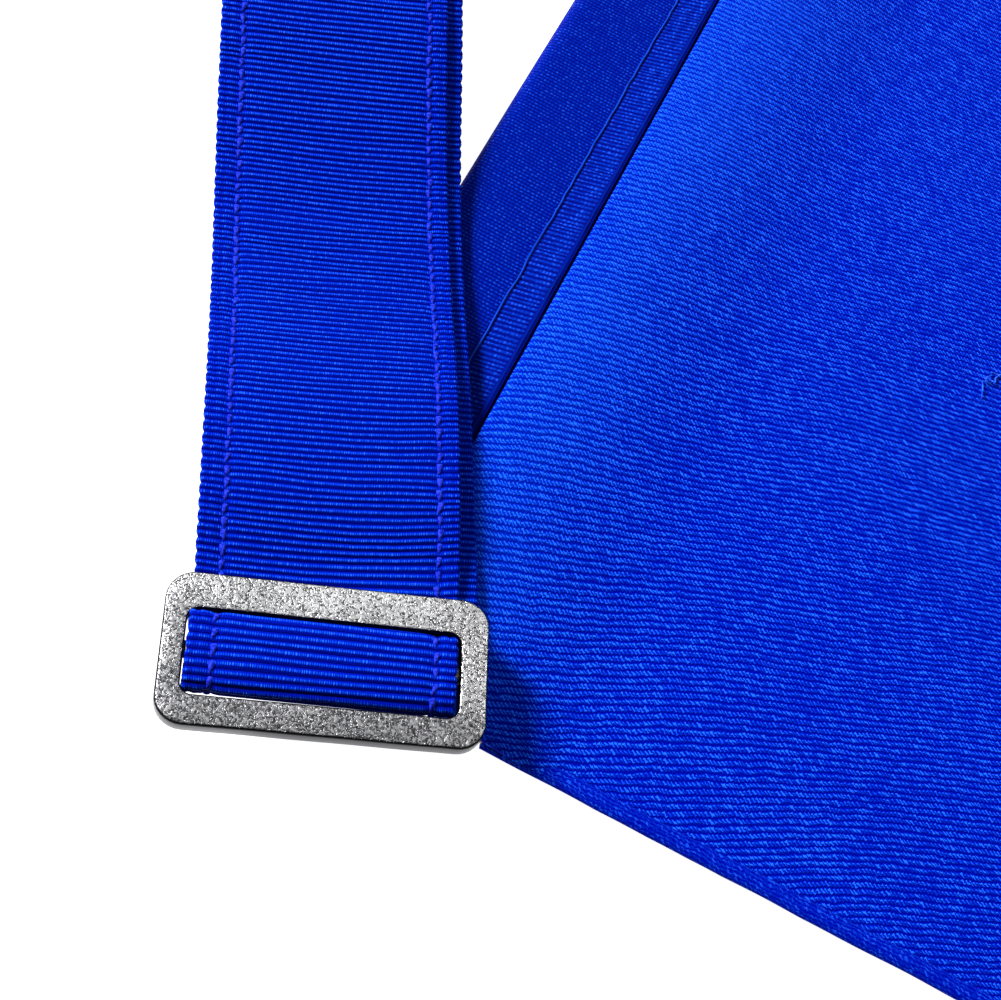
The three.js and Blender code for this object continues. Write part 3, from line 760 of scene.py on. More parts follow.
def stitch_rows(name, places, route, ribs, corner, heading):
    """Copies of the drop on the strap's outer face, one for each two ribs in each row."""
    drop = stitch_shape()
    spots = ribs[RIB_SAMPLES::2 * RIB_SAMPLES]
    spots = spots[(spots > 2) & (spots < places[-1] - 2)]
    pieces = []
    for x in STITCH_PLACES:
        s = spots + 0.06 * rng.standard_normal(len(spots))
        centre, ahead, across, upright = strap_frame(places, route, s)
        width = np.interp(s, places, route[:, 4]) / STRAP_WIDTH
        aside = x * width + 0.07 * rng.standard_normal(len(s))
        scale = 1 + 0.08 * rng.standard_normal((len(s), 1, 1))
        skew = 0.12 + 0.1 * rng.standard_normal((len(s), 1, 1))
        local = drop[None] * scale[..., None]
        over = local[..., 1] + skew * local[..., 0] + aside[:, None, None]
        # each drop's own along, over and up, laid on the strap's three directions at its spot
        lengths = np.stack([local[..., 0], over, -local[..., 2]], -1)
        directions = np.stack([ahead, across, upright], 1)[:, None]
        points = centre[:, None, None] + lengths @ directions
        pieces.append(points.reshape(len(s), -1, 3))
    points = to_world(np.concatenate(pieces), corner, heading)
    count, size = points.shape[:2]
    quads = tube_quads(*drop.shape[:2])
    quads = (quads[None] + size * np.arange(count)[:, None, None]).reshape(-1, 4)
    flat_points = points.reshape(-1, 3)
    return make_mesh(name, flat_points, quads, np.zeros((len(flat_points), 2)), stitch_thread)


belt_stitches = stitch_rows("doubled_strap_stitches", belt_places, belt_path, belt_ribs,
                            RIGHT_CORNER, RIGHT_HEADING)
short_stitches = stitch_rows("plain_strap_stitches", short_places, short_path, short_ribs,
                             LEFT_CORNER, LEFT_HEADING)

# %% [markdown]
# ## Cast metal
# The slider is a cheap casting of dull nickel colour. The skin of its flat faces is covered with
# small worm-like pits between bright flecks, while its rim and its sides are smooth and carry a
# painted dark reflection: nearly black on the bevels and dark grey on the sides. A noise texture
# crosses its middle value along winding lines, so a narrow band round that value is a drawing of
# worms. A second noise breaks the lines into short strokes, and a slow one makes clouds of lighter
# and darker skin. On metal the weave attribute has other numbers: the first says how polished the
# place is, and the third is 1 on a flat face and falls to 0 on a side.

# %% Group: cast pits
cast_pits, given, result = new_group(
    "cast pits", [("Scale", "Float", 1.0)], [(label, "Float") for label in ("Pit", "Grain", "Fleck")])
t = cast_pits
where = add(t, "ShaderNodeVectorMath", {0: object_place(t), "Scale": given["Scale"]},
            operation="SCALE").outputs[0]
worms = maths(t, "ABSOLUTE", minus(t, noise(t, where, 1600.0, 1.0, 1.2), 0.5))
worms = one_minus(t, between(t, worms, 0.020, 0.075))
broken = between(t, noise(t, where, 1300.0, 1.0), 0.42, 0.52)
dots = one_minus(t, between(t, noise(t, where, 2600.0, 0.0), 0.26, 0.34))
t.links.new(maths(t, "MAXIMUM", times(t, worms, broken), dots), result["Pit"])
t.links.new(between(t, noise(t, where, 95.0, 3.0), 0.32, 0.68), result["Grain"])
t.links.new(between(t, noise(t, where, 3000.0, 2.0, 0.5), 0.36, 0.64), result["Fleck"])
print("group made:", cast_pits.name)

# %% Cast metal material
DULL_SKIN = [(0.11, 0.11, 0.116, 1), (0.44, 0.44, 0.46, 1)]
BRIGHT_SKIN = [(0.56, 0.56, 0.57, 1), (0.90, 0.90, 0.91, 1)]
PIT_COLOUR = (0.035, 0.035, 0.04, 1)
# painted dark reflection: the next two colours make the sides dark grey and the bevels nearly black
PAINTED_DARK_SIDE_COLOUR, PAINTED_DARK_BEVEL_COLOUR = (0.05, 0.05, 0.056, 1), (0.012, 0.012, 0.014, 1)
cast_metal, tree, finish = new_finish("pitted_cast_metal", {"Metallic": 1.0})
skin = place(tree, cast_pits, {"Scale": 1.0})
numbers = weave_numbers(tree)
face = between(tree, numbers["Z"], 0.78, 0.97)
clouds = times(tree, minus(tree, skin["Grain"], 0.5), 0.5)
polish = add(tree, "ShaderNodeClamp", {"Value": plus(tree, numbers["X"], clouds)}).outputs[0]
dull = blend_colours(tree, skin["Fleck"], *DULL_SKIN)
bright = blend_colours(tree, skin["Fleck"], *BRIGHT_SKIN)
skin_colour = blend_colours(tree, polish, dull, bright)
skin_colour = blend_colours(tree, times(tree, skin["Pit"], 0.9), skin_colour, PIT_COLOUR)
# painted dark reflection on the sides and bevels, away from the flat faces
painted_dark_edges = blend_colours(tree, between(tree, numbers["Z"], 0.03, 0.2), PAINTED_DARK_SIDE_COLOUR, PAINTED_DARK_BEVEL_COLOUR)
relief = times(tree, minus(tree, times(tree, skin["Fleck"], 0.35), skin["Pit"]), face)
rough = add(tree, "ShaderNodeMapRange", {"Value": face, "To Min": 0.28, "To Max": 0.40}).outputs[0]
fill(tree, finish, {"Base Color": blend_colours(tree, face, painted_dark_edges, skin_colour),
                    "Normal": bumped(tree, relief, 0.045), "Roughness": rough})
print("metal made:", cast_metal.name)

# %% [markdown]
# ## The slider, the hook and the ring
# Each is a flat frame with rounded corners. The frame is worked out as a closed loop of sections:
# every section runs from the opening's outline to the outer outline, and both outlines have the
# same number of points on each corner and each side. The section is a rectangle with softened
# edges, because a casting has no sharp ones.

# %% Frames


def rounded_outline(centre_x, length, width, radius, corner_points=9, side_points=12):
    """A rounded rectangle as a loop of points: four quarter circles with straight sides between."""
    corners = []
    for k, (sx, sy) in enumerate([(1, 1), (-1, 1), (-1, -1), (1, -1)]):
        angle = np.radians(np.linspace(0, 90, corner_points) + 90 * k)
        middle = np.array([centre_x + sx * (length / 2 - radius), sy * (width / 2 - radius)])
        corners.append(middle + radius * np.stack([np.cos(angle), np.sin(angle)], -1))
    share = np.linspace(0, 1, side_points + 2)[1:-1, None]
    sides = [mix(corners[k][-1], corners[(k + 1) % 4][0], share) for k in range(4)]
    return np.concatenate([some for pair in zip(corners, sides) for some in pair])


def frame_section(soft=0.35, steps=5):
    """A softened rectangle: for each point, which edge it belongs to (0 inner, 1 outer), how far it
    stands back from that edge and from the face, which face, and how flat it lies there."""
    angle = np.radians(np.linspace(0, 90, steps))
    back, drop = 1 - np.cos(angle), 1 - np.sin(angle)
    side = np.r_[np.ones(steps), np.zeros(steps), np.zeros(steps), np.ones(steps)]
    inset = soft * np.r_[back, back[::-1], back, back[::-1]]
    height = np.r_[soft * drop, soft * drop[::-1], -soft * drop, -soft * drop[::-1]]
    face = np.r_[np.ones(2 * steps), -np.ones(2 * steps)]
    flatness = np.r_[1 - drop, 1 - drop[::-1], 1 - drop, 1 - drop[::-1]]
    return side, inset, height, face, flatness


# %% A frame between two outlines


def flat_frame(outer, inner, thickness, soft=0.35):
    """Points of a frame between two outlines, its quads and each point's flatness."""
    side, inset, height, face, flatness = frame_section(soft)
    span = outer - inner
    bar = np.linalg.norm(span, axis=1, keepdims=True)
    share = np.where(side[None] > 0.5, 1 - inset[None] / bar, inset[None] / bar)
    flat = inner[:, None] + span[:, None] * share[..., None]
    z = np.broadcast_to(face * thickness / 2 - height, flat.shape[:2])
    points = np.concatenate([flat, z[..., None]], -1)
    quads = tube_quads(len(outer), len(side), closed_path=True)
    return points.reshape(-1, 3), quads, np.tile(flatness, len(outer))


# %% Bars, and joining them


def round_bar(start_point, end_point, half_width, half_height, columns=16, rows=10):
    """A bar between two points, whose section is a circle squared by a power of 0.6."""
    start_point, end_point = np.array(start_point, float), np.array(end_point, float)
    line = mix(start_point, end_point, np.linspace(0, 1, rows)[:, None])
    ahead = (end_point - start_point) / np.linalg.norm(end_point - start_point)
    across = np.array([-ahead[1], ahead[0], 0])
    angle = 2 * np.pi * (np.arange(columns) + 0.5) / columns
    x = half_width * signed_power(np.cos(angle), 0.6)
    z = half_height * signed_power(np.sin(angle), 0.6)
    points = line[:, None] + x[:, None] * across + z[:, None] * np.array([0, 0, 1])
    return points.reshape(-1, 3), tube_quads(rows, columns), np.full(rows * columns, 0.9)


def joined(*shapes):
    """Several (points, quads, flatness) as one, each a closed skin of its own."""
    points, quads, flatness = zip(*shapes)
    offsets = np.cumsum([0] + [len(some) for some in points[:-1]])
    quads = [some + offset for some, offset in zip(quads, offsets)]
    return np.concatenate(points), np.concatenate(quads), np.concatenate(flatness)


def metal_weave(flatness, polish=0.5):
    """No rows of thread on metal: the first number is the polish and the third the flatness."""
    return np.stack([polish + 0 * flatness, 0 * flatness, flatness], -1)


def turned(points, angle, shift):
    """Points turned about the upright and moved."""
    c, s = np.cos(angle), np.sin(angle)
    return points @ np.array([[c, s, 0], [-s, c, 0], [0, 0, 1]]) + np.array(shift)


# %% Slider
OPENING_WIDTH, OPENING_ROOM = 31.2, 10.4
LONG_BAR, END_BAR = 4.1, 3.4
SLIDER_THICKNESS = 2.4
outer = rounded_outline(0, OPENING_ROOM + 2 * LONG_BAR, OPENING_WIDTH + 2 * END_BAR, END_BAR)
inner = rounded_outline(-0.42, OPENING_ROOM - 0.04, OPENING_WIDTH + 0.65, 1.4) + np.array([0, 0.33])
bar_end = OPENING_WIDTH / 2 + 1
points, quads, flatness = joined(flat_frame(outer, inner, SLIDER_THICKNESS, soft=0.40),
                                 round_bar((0, -bar_end, 0), (0, bar_end, 0), 1.0, 0.8))
# the skin is brighter towards the bar that lies farther along the strap, and duller towards one end
across_bars, along_bars = points[:, 0] / 7.3, np.maximum(points[:, 1], 0) / 17.5
polish = 0.44 + 0.42 * across_bars - 0.30 * along_bars
points[:, 2] += 0.05 * np.sin(points[:, 0] * 0.9 + 1) * np.sin(points[:, 1] * 0.55)
points = turned(points, SLIDER_SKEW, (0, 0, SLIDER_HEIGHT))
slider = make_mesh("cast_slider", to_world(points, RIGHT_CORNER, RIGHT_HEADING), quads,
                   metal_weave(flatness, polish), cast_metal)

# %% Hook and ring
HOOK_HEIGHT = 2.3
HOOK_SLOT, RING_SLOT, SLOT_WIDTH = 6.0, 12.0, 32.6
FRAME_BAR = 3.0
WIRE, BEND_INSIDE, SHANK = 3.4, 5.5, 8.0


def strap_bar_frame(slot_room):
    """The frame that a strap loops through: bars of 3 mm round a slot, near bar at the origin."""
    length = slot_room + 2 * FRAME_BAR
    middle = length / 2 - FRAME_BAR / 2
    outline = rounded_outline(middle, length, SLOT_WIDTH + 2 * FRAME_BAR, FRAME_BAR)
    slot = rounded_outline(middle, slot_room, SLOT_WIDTH, 0.35)
    return flat_frame(outline, slot, 2.0, soft=0.3)


def bent_wire(centre_x, radius, wire, sweep, rows=44, columns=16):
    """A flat-sided wire bent round a circle, and rounded off at its free end: over the last 6 % its
    section shrinks as a quarter circle does."""
    angle = np.radians(180 + np.linspace(-4, sweep, rows))
    tip = np.sqrt(1 - np.clip((np.linspace(0, 1, rows) - 0.94) / 0.06, 0, 0.97) ** 2)
    outwards = np.stack([np.cos(angle), np.sin(angle), 0 * angle], -1)
    around = 2 * np.pi * (np.arange(columns) + 0.5) / columns
    x = wire / 2 * signed_power(np.cos(around), 0.6)
    z = signed_power(np.sin(around), 0.6)
    centre = np.array([centre_x, 0, 0])
    points = (centre + outwards[:, None] * (radius + tip[:, None] * x)[..., None]
              + (tip[:, None] * z)[..., None] * np.array([0, 0, 1]))
    return points.reshape(-1, 3), tube_quads(rows, columns), np.full(rows * columns, 0.9)


frame_end = HOOK_SLOT + 1.5 * FRAME_BAR
bend_radius = BEND_INSIDE + WIRE / 2
points, quads, flatness = joined(
    strap_bar_frame(HOOK_SLOT),
    round_bar((frame_end - 2, 0, 0), (frame_end + SHANK + 0.2, 0, 0), 2.5, 1.0),
    bent_wire(frame_end + SHANK + bend_radius, bend_radius, WIRE, 265))
points = to_world(points + np.array([DOUBLED_REACH, -0.5, HOOK_HEIGHT]), RIGHT_CORNER, RIGHT_HEADING)
hook = make_mesh("cast_hook", points, quads, metal_weave(flatness), cast_metal)
points, quads, flatness = strap_bar_frame(RING_SLOT)
points = to_world(points + np.array([PLAIN_REACH, 0, HOOK_HEIGHT]), LEFT_CORNER, LEFT_HEADING)
ring = make_mesh("cast_ring", points, quads, metal_weave(flatness), cast_metal)

# %% [markdown]
# ## The lining
# The lining is one sheet of twill. Its edges are turned under, and they lie on the tape, so the
# sheet climbs near the fold and falls away inwards. It is a grid of points: the middle surface is
# a height that depends on how far a point is from the nearest edge, and the top and the underside
# stand half a thickness off it. Over the last part of a millimetre the two close in a quarter
# circle, which makes the fold round. Slow waves keep it from looking like a board.

# %% Lining sheet
LINING_INSET = 19.9
LINING_WAIST = 78.6


def edge_distance(x, y):
    """How far in from the nearest taped edge of the apron a point is."""
    return np.minimum(HALF_WIDTH - np.abs(x), y - BOTTOM)


def slow_waves(x, y, size):
    """A few crossing sines of 45 to 260 mm, as a sheet has that was folded and pressed."""
    return size * (np.sin(x / 13 + y / 29) * np.sin(y / 17 - x / 41)
                   + 0.6 * np.sin(x / 31 - y / 11 + 1.7) + 0.4 * np.sin(x / 7.3 + y / 8.1))


# %% A closed sheet


def closed_sheet(name, xs, ys, middle, thickness, fold, weave_of, material):
    """A sheet over a grid, closed round its edges. Height above the middle surface is half the
    thickness times a quarter circle of the distance to the edge over the fold's reach."""
    x, y = np.meshgrid(xs, ys)
    inside = np.minimum(np.minimum(x - xs[0], xs[-1] - x), np.minimum(y - ys[0], ys[-1] - y))
    reach = np.clip(inside / fold, 0, 1)
    rise = thickness / 2 * np.sqrt(1 - (1 - reach) ** 2)
    centre = middle(x, y)
    rows, columns = x.shape
    top = np.stack([x, y, centre + rise], -1).reshape(-1, 3)
    under = np.stack([x, y, centre - rise], -1).reshape(-1, 3)
    index = np.arange(rows * columns).reshape(rows, columns)
    border = np.ones((rows, columns), bool)
    border[1:-1, 1:-1] = False
    inner_count = int((~border).sum())
    below = index.copy()
    below[~border] = rows * columns + np.arange(inner_count)
    points = np.concatenate([top, under[~border.ravel()]])

    def cells(grid):
        return np.stack([grid[:-1, :-1], grid[:-1, 1:], grid[1:, 1:], grid[1:, :-1]], -1).reshape(-1, 4)

    quads = np.concatenate([cells(index), cells(below)[:, ::-1]])
    return make_mesh(name, points, quads, weave_of(points[:, 0], points[:, 1]), material)


def graded(low_edge, high_edge, step, fold):
    """Grid lines at even steps, with extra ones close to both ends for the rounded fold."""
    near = np.array([0, 0.02, 0.08, 0.22, 0.45, 0.8, 1.3, 2.0, 3.0]) * fold
    count = int((high_edge - low_edge - 6 * fold) / step)
    even = np.linspace(low_edge + 4.2 * fold, high_edge - 4.2 * fold, count)
    return np.r_[low_edge + near, even, (high_edge - near)[::-1]]


# %% Shape and weave of the lining


def lining_middle(x, y):
    """Raised over the tape, then falling inwards over 30 mm, with slow waves in the flat part."""
    inwards = edge_distance(x, y)
    fall = ease((inwards - 22) / 30)
    puff = 0.12 * np.sin(np.pi * np.clip((inwards - 19.8) / 9, 0, 1))
    base = mix(7.15 + puff, 3.45, fall)
    level = ease((inwards - 45) / 40) * ease((LINING_WAIST - y) / 14)
    return base + level * np.clip(slow_waves(x, y, 0.10), -0.1, 0.4)


def twill_weave(x, y):
    """Millimetres along the row and rows counted. The rows lean by 17 degrees, and a quadratic turns
    their lean by some 10 degrees over the corner, as the cloth was pulled when it was sewn down.
    Two crossing sines add slow waves of half a row. Where the cloth was pressed over the tape a
    painted sheen makes it paler, fading inwards within some 20 mm."""
    dx, dy = x - 130, y - 20
    bent_x, bent_y = np.clip(dx, -35, 55), np.clip(dy, -85, 55)
    rows = -0.337 * dx + 1.112 * dy - 0.0033 * bent_x * bent_y - 0.00106 * bent_y ** 2
    rows = rows + 0.45 * np.sin(x / 7 + y / 19) * np.sin(y / 11 - x / 23)
    # painted highlight: a painted sheen on the twill where it lies over the tape
    painted_light = 0.95 * np.exp(-((edge_distance(x, y) - 24) / 16) ** 2)
    return np.stack([0.95 * x + 0.3 * y, rows, painted_light], -1)


lining_half = HALF_WIDTH - LINING_INSET
lining_columns = graded(-lining_half, lining_half, 2.6, 0.7)
lining_rows = graded(BOTTOM + LINING_INSET, LINING_WAIST, 2.6, 0.7)
lining = closed_sheet("twill_lining", lining_columns, lining_rows, lining_middle, 1.2, 0.7, twill_weave,
                      lining_cloth)

# %% [markdown]
# ## The ribbon border
# The border ribbon is folded round the apron's edge: a wide leg on the front, a soft turn, and a
# narrow leg on the back. Its section is a walk along the outside and back along the inside, with
# the same number of points, so that a ladder closes each end. The corners at the bottom are
# mitred by letting each section point start as far along as it lies in from the edge. The ribs
# run across the ribbon, so rows are counted along it. They are so fine that the bump does them.

# %% Border ribbons
X_WAY, Y_WAY = np.array([1.0, 0.0]), np.array([0.0, 1.0])
SIDE_LENGTH, BOTTOM_LENGTH = WAIST - BOTTOM, 2 * HALF_WIDTH
# where each edge starts, which way is inwards, which way it runs, its length, a mitre at its far end
EDGES = {
    "right": (np.array([HALF_WIDTH, BOTTOM]), -X_WAY, Y_WAY, SIDE_LENGTH, 0),
    "left": (np.array([-HALF_WIDTH, BOTTOM]), X_WAY, Y_WAY, SIDE_LENGTH, 0),
    "bottom": (np.array([-HALF_WIDTH, BOTTOM]), Y_WAY, X_WAY, BOTTOM_LENGTH, 1),
}


def along_edge(side, inwards, height, rows, ripple):
    """A section carried along an edge: each point starts, and at a mitre ends, as far along as it
    lies in. The ripple adds to how far in and how high it is."""
    corner, inward, ahead, length, end_mitre = EDGES[side]
    share = np.linspace(0, 1, rows)[:, None]
    run = mix(inwards + 0.2, length - end_mitre * (inwards + 0.2), share)
    added_in, added_up = ripple(run, np.broadcast_to(inwards, run.shape))
    inwards = inwards + added_in
    height = height + added_up
    plan = corner + inwards[..., None] * inward + run[..., None] * ahead
    return np.concatenate([plan, height[..., None]], -1), run, inwards


# %% Border section
TURN_RADIUS = 1.9
TURN_POINTS = 9


def border_section():
    """Outside: up the front leg's lip, along the bottom, round the turn and in along the back.
    Inside: one thickness in from it."""
    turn_angle = np.radians(np.linspace(-90, 90, TURN_POINTS))
    sine, cosine = np.sin(turn_angle), np.cos(turn_angle)
    lip = [(50.0, 0.35), (49.9, 0.12), (49.6, 0.0)]
    front = [(x, 0.0) for x in (44, 36, 28, 20, 12, 6, 3)]
    turn_part = np.stack([TURN_RADIUS - TURN_RADIUS * cosine, TURN_RADIUS + TURN_RADIUS * sine], -1)
    back = [(x, 2 * TURN_RADIUS) for x in (3, 5, 7, 9, 11, 13, 14.6)] + [(14.88, 3.68), (14.98, 3.45)]
    outside = np.concatenate([lip, front, turn_part, back])
    inside = outside.copy()
    inside[:, 1] = np.where(outside[:, 1] < TURN_RADIUS, 1.0, 2 * TURN_RADIUS - 1.0)
    inside[:, 0] = np.maximum(outside[:, 0], 1.25)
    middle = slice(len(lip) + len(front), len(lip) + len(front) + TURN_POINTS)
    inside[middle, 0] = TURN_RADIUS - 0.8 * cosine
    inside[middle, 1] = TURN_RADIUS + 0.9 * sine
    inside[:3, 1] = (0.65, 0.88, 1.0)
    inside[-2:, 1] = (2.92, 3.15)
    ring = np.concatenate([outside, inside[::-1]])
    return ring[:, 0], ring[:, 1]


# %% Border along its edges


def border_ripple(run, inwards):
    """The turn is a little uneven: a sine of 69 mm where the ribbon lies less than 2 mm in."""
    return 0.05 * np.sin(run / 11 + 1) * (inwards < 2), 0 * run


BORDER_PITCH = 0.6


def border_ribbon(side):
    """The section along one edge. On the front, a side ribbon stops before the hem."""
    inwards, height = border_section()
    rings, run, inwards = along_edge(side, inwards, height, 220, border_ripple)
    if side != "bottom":
        under_hem = (inwards > 10) & (rings[..., 2] < 1.5)
        rings[..., 1] = np.where(under_hem, np.minimum(rings[..., 1], 76.5), rings[..., 1])
    weave = np.stack([inwards, run / BORDER_PITCH], -1)
    return loft(f"border_ribbon_{side}", rings, weave, border_cloth)


borders = {side: border_ribbon(side) for side in EDGES}

# %% [markdown]
# ## The tape
# Inside the border runs a narrow tape with a corded edge. It slopes up towards the lining and
# disappears beneath its fold, past a dark crevice deepened with painted shade. Its ribs are deeper
# than the border's, so they are geometry, four rows of points to a rib. The cord is a small round
# ridge that wavers where the thread was pulled tight, every one to three millimetres.

# %% Tapes
TAPE_PITCH = 0.77
TAPE_SAMPLES = 4
# inwards, height, how much of the rib's height it takes, whether it belongs to the cord, and the
# painted light: a painted highlight on top of the cord, painted shade beside it, where the ribs end
# and in the crevice under the lining's fold
TAPE_TOP = np.array([
    (13.78, 3.95, 0, 1, 0), (13.80, 4.20, 0, 1, 0.3), (13.90, 4.36, 0, 1, 0.5), (14.02, 4.36, 0, 1, 0.5),
    (14.12, 4.16, 0, 1, 0), (14.26, 4.06, 0.2, 0, -1.2), (14.5, 4.22, 1, 0, 0), (18.4, 5.56, 1, 0, 0),
    (18.6, 5.60, 0.3, 0, -1.2), (18.7, 5.70, 0, 0.4, -0.6), (18.85, 5.70, 0, 0.4, -1.2),
    (18.95, 5.64, 0.1, 0.1, -2.0), (19.4, 5.72, 0.1, 0.1, -2.3), (19.55, 5.5, 0, 0, -3),
    (19.8, 5.0, 0, 0, -3), (25.7, 4.9, 0, 0, 0)])


def tape(side):
    """The section along one edge. Each rib is the size of a sine, with its own width and swell, and
    the cord follows straight lines between its knots."""
    length = EDGES[side][3]
    ribs = int(length / TAPE_PITCH)
    rows = ribs * TAPE_SAMPLES
    widths = 1 + 0.16 * rng.standard_normal(ribs + 2)
    rib_edges = np.cumsum(widths) * length / widths.sum()
    under = TAPE_TOP * (1, 0, 0, 0, 0)
    slope_up = 3.0 + 0.12 * (under[:, 0] - 14.3)
    under[:, 1] = np.select([under[:, 0] < 15.2, under[:, 0] < 19.6], [3.87, slope_up], 3.6)
    under[0, 0] = 13.83
    section_in, section_up, takes_rib, is_cord, painted_light = np.concatenate([TAPE_TOP, under[::-1]]).T
    swell = 1 + 0.25 * rng.standard_normal(ribs + 2)
    knots = np.cumsum(rng.uniform(1.2, 2.6, ribs))
    pull = rng.uniform(-0.17, 0.17, ribs)

    def counted(run):
        return np.interp(run, rib_edges, np.arange(ribs + 2))

    def ripple(run, inwards):
        count = counted(run)
        crown = np.abs(np.sin(np.pi * count)) ** 0.8
        rib = 0.20 * (crown - 0.8) * swell[np.clip(count.astype(int), 0, ribs + 1)]
        waver = np.interp(run, knots, pull)
        return is_cord * waver, takes_rib * rib + 0.5 * is_cord * waver

    rings, run, inwards = along_edge(side, section_in, section_up, rows, ripple)
    weave = np.stack([inwards, np.where(is_cord > 0, 0.5, counted(run)), painted_light + 0 * run], -1)
    return loft(f"corded_tape_{side}", rings, weave, tape_cloth)


tapes = {side: tape(side) for side in EDGES}

# %% [markdown]
# ## The hem
# Along the waist the twill is turned over a cord of its own thickness: a soft crease, a narrow
# smooth band and a round edge that goes down to the table. It is one section carried along the
# edge. Its rows of thread run along the hem, so rows are counted across it.

# %% Waist hem
HEM_HALF = 164.8
HEM_PITCH = 0.5


def waist_hem():
    """Outside of the roll from the crease over the edge to the front, and back along the inside.
    Each point is given by how far it lies in from the waist edge and its height."""
    outside = np.array([(3.35, 4.12), (3.2, 4.26), (2.8, 4.36), (2.3, 4.40), (1.8, 4.38), (1.4, 4.28),
                        (1.1, 4.08), (0.96, 3.8), (1.08, 3.4), (1.6, 2.5), (2.15, 1.5), (2.55, 0.7),
                        (2.85, 0.15), (3.1, 0.0)])
    inside = np.array([(3.3, 4.09), (3.1, 4.11), (2.8, 4.12), (2.4, 4.12), (2.1, 4.08), (1.9, 3.98),
                       (1.8, 3.85), (1.78, 3.65), (1.85, 3.35), (2.2, 2.7), (2.5, 2.1), (2.8, 1.5),
                       (3.0, 1.0), (3.15, 0.8)])
    ring = np.concatenate([outside, inside[::-1]])
    x = np.linspace(-HEM_HALF, HEM_HALF, 360)[:, None]
    wave = 0.05 * np.sin(x / 5.3) + 0.04 * np.sin(x / 2.1 + 1) + 0.03 * np.sin(x / 13)
    y = WAIST - ring[:, 0] - (ring[:, 1] > 1) * np.abs(wave)
    z = np.broadcast_to(ring[:, 1], y.shape) + (ring[:, 1] > 4.3) * 0.6 * wave
    points = np.stack(np.broadcast_arrays(x, y, z), -1)
    steps = np.linalg.norm(np.diff(outside, axis=0), axis=1)
    around = np.r_[0, np.cumsum(steps), np.zeros(len(inside))]
    weave = np.stack(np.broadcast_arrays(x, around / HEM_PITCH), -1)
    return loft("waist_hem_roll", points, weave, hem_cloth)


hem = waist_hem()

# %% [markdown]
# ## The leather front and its flap
# The hidden front is thin white leather, with a three-cornered flap edged in ribbon. Nobody sees
# it in the photograph, so it is finished plainly, but a white apron front is still leather: fine
# pores and soft creases. A Voronoi texture gives the pebbled cells of the grain.

# %% Leather
white_leather, tree, finish = new_finish("white_leather", {})
where = object_place(tree)
cells = add(tree, "ShaderNodeTexVoronoi", {"Vector": where, "Scale": 900.0}, feature="DISTANCE_TO_EDGE")
cells = between(tree, cells.outputs[0], 0.0, 0.25)
creases = noise(tree, where, 60.0, 5.0, 0.4)
rough = add(tree, "ShaderNodeMapRange", {"Value": creases, "To Min": 0.42, "To Max": 0.6}).outputs[0]
fill(tree, finish, {
    "Base Color": blend_colours(tree, creases, (0.76, 0.74, 0.69, 1), (0.88, 0.87, 0.84, 1)),
    "Normal": bumped(tree, plus(tree, cells, times(tree, creases, 1.5)), 0.05), "Roughness": rough})


def plain_weave(x, y):
    """No rows: only the place, for a sheet whose material doesn't weave."""
    return np.stack([x, y], -1)


field = closed_sheet("leather_front", graded(1.4 - HALF_WIDTH, HALF_WIDTH - 1.4, 8, 0.6),
                     graded(BOTTOM + 1.4, WAIST - 2.4, 8, 0.6), lambda x, y: 1.9 + 0 * x, 1.2, 0.6,
                     plain_weave, white_leather)

# %% Flap
FLAP_TOP, FLAP_HALF, FLAP_DROP = 77.1, 150.0, 130.0
FLAP_THICKNESS = 1.0


def band(name, first_line, second_line, weave_pitch, material, rows=60):
    """A flat band on the table between two lines in plan, with rolled edges. Each line is given by
    its two ends, and rows of thread are counted along the band's middle."""
    share = np.linspace(0, 1, rows)[:, None]
    a, b = (mix(*np.array(line, float)[:, None], share) for line in (first_line, second_line))
    middle, reach = (a + b) / 2, np.linalg.norm(b - a, axis=1, keepdims=True) / 2
    across = (b - a) / (2 * reach)
    flat, roll, lift = flat_section(np.linspace(-1, 1, 9), np.linspace(-1, 1, 9), roll=(75, 35))
    soft = np.minimum(FLAP_THICKNESS / 2, reach * 0.9)
    offset = flat * (reach - soft) + roll * soft
    plan = middle[:, None] + across[:, None] * offset[..., None]
    height = np.broadcast_to((1 + lift) * FLAP_THICKNESS / 2, offset.shape)
    points = np.concatenate([plan, height[..., None]], -1)
    along = np.linalg.norm(middle[-1] - middle[0]) * share
    weave = np.stack(np.broadcast_arrays(offset, along / weave_pitch), -1)
    return loft(name, points, weave, material)


# %% Flap and its ribbons


def drawn_in(width):
    """How far a band of this width along the flap's slanted edge moves its corner: in and up."""
    slanted = np.hypot(FLAP_HALF, FLAP_DROP)
    return width * slanted / FLAP_DROP, width * slanted / FLAP_HALF


flap_tip = FLAP_TOP - FLAP_DROP
inset_x, inset_y = drawn_in(25)
flap = band("leather_flap", [(inset_x - FLAP_HALF, FLAP_TOP), (0, flap_tip + inset_y)],
            [(FLAP_HALF - inset_x, FLAP_TOP), (0.01, flap_tip + inset_y)], 1.0, white_leather)
less_x, less_y = drawn_in(24.7)
flap_ribbons = {}
for side, sign in (("right", 1), ("left", -1)):
    inner_line = [(sign * (FLAP_HALF - less_x), FLAP_TOP), (sign * 0.15, flap_tip + 0.13 + less_y)]
    outer_line = [(sign * FLAP_HALF, FLAP_TOP), (sign * 0.15, flap_tip + 0.13)]
    flap_ribbons[side] = band(f"flap_ribbon_{side}", inner_line, outer_line, BORDER_PITCH, border_cloth,
                              rows=90)

# %% [markdown]
# ## A knot of thread
# At the right of the picture a loose end of the lining's sewing thread stands in a small knot. It
# is a few turns of a fine tube: the tube's path is a tangle of three sines, and the tube is the
# same loft as everything else, with a round section.

# %% Thread knot


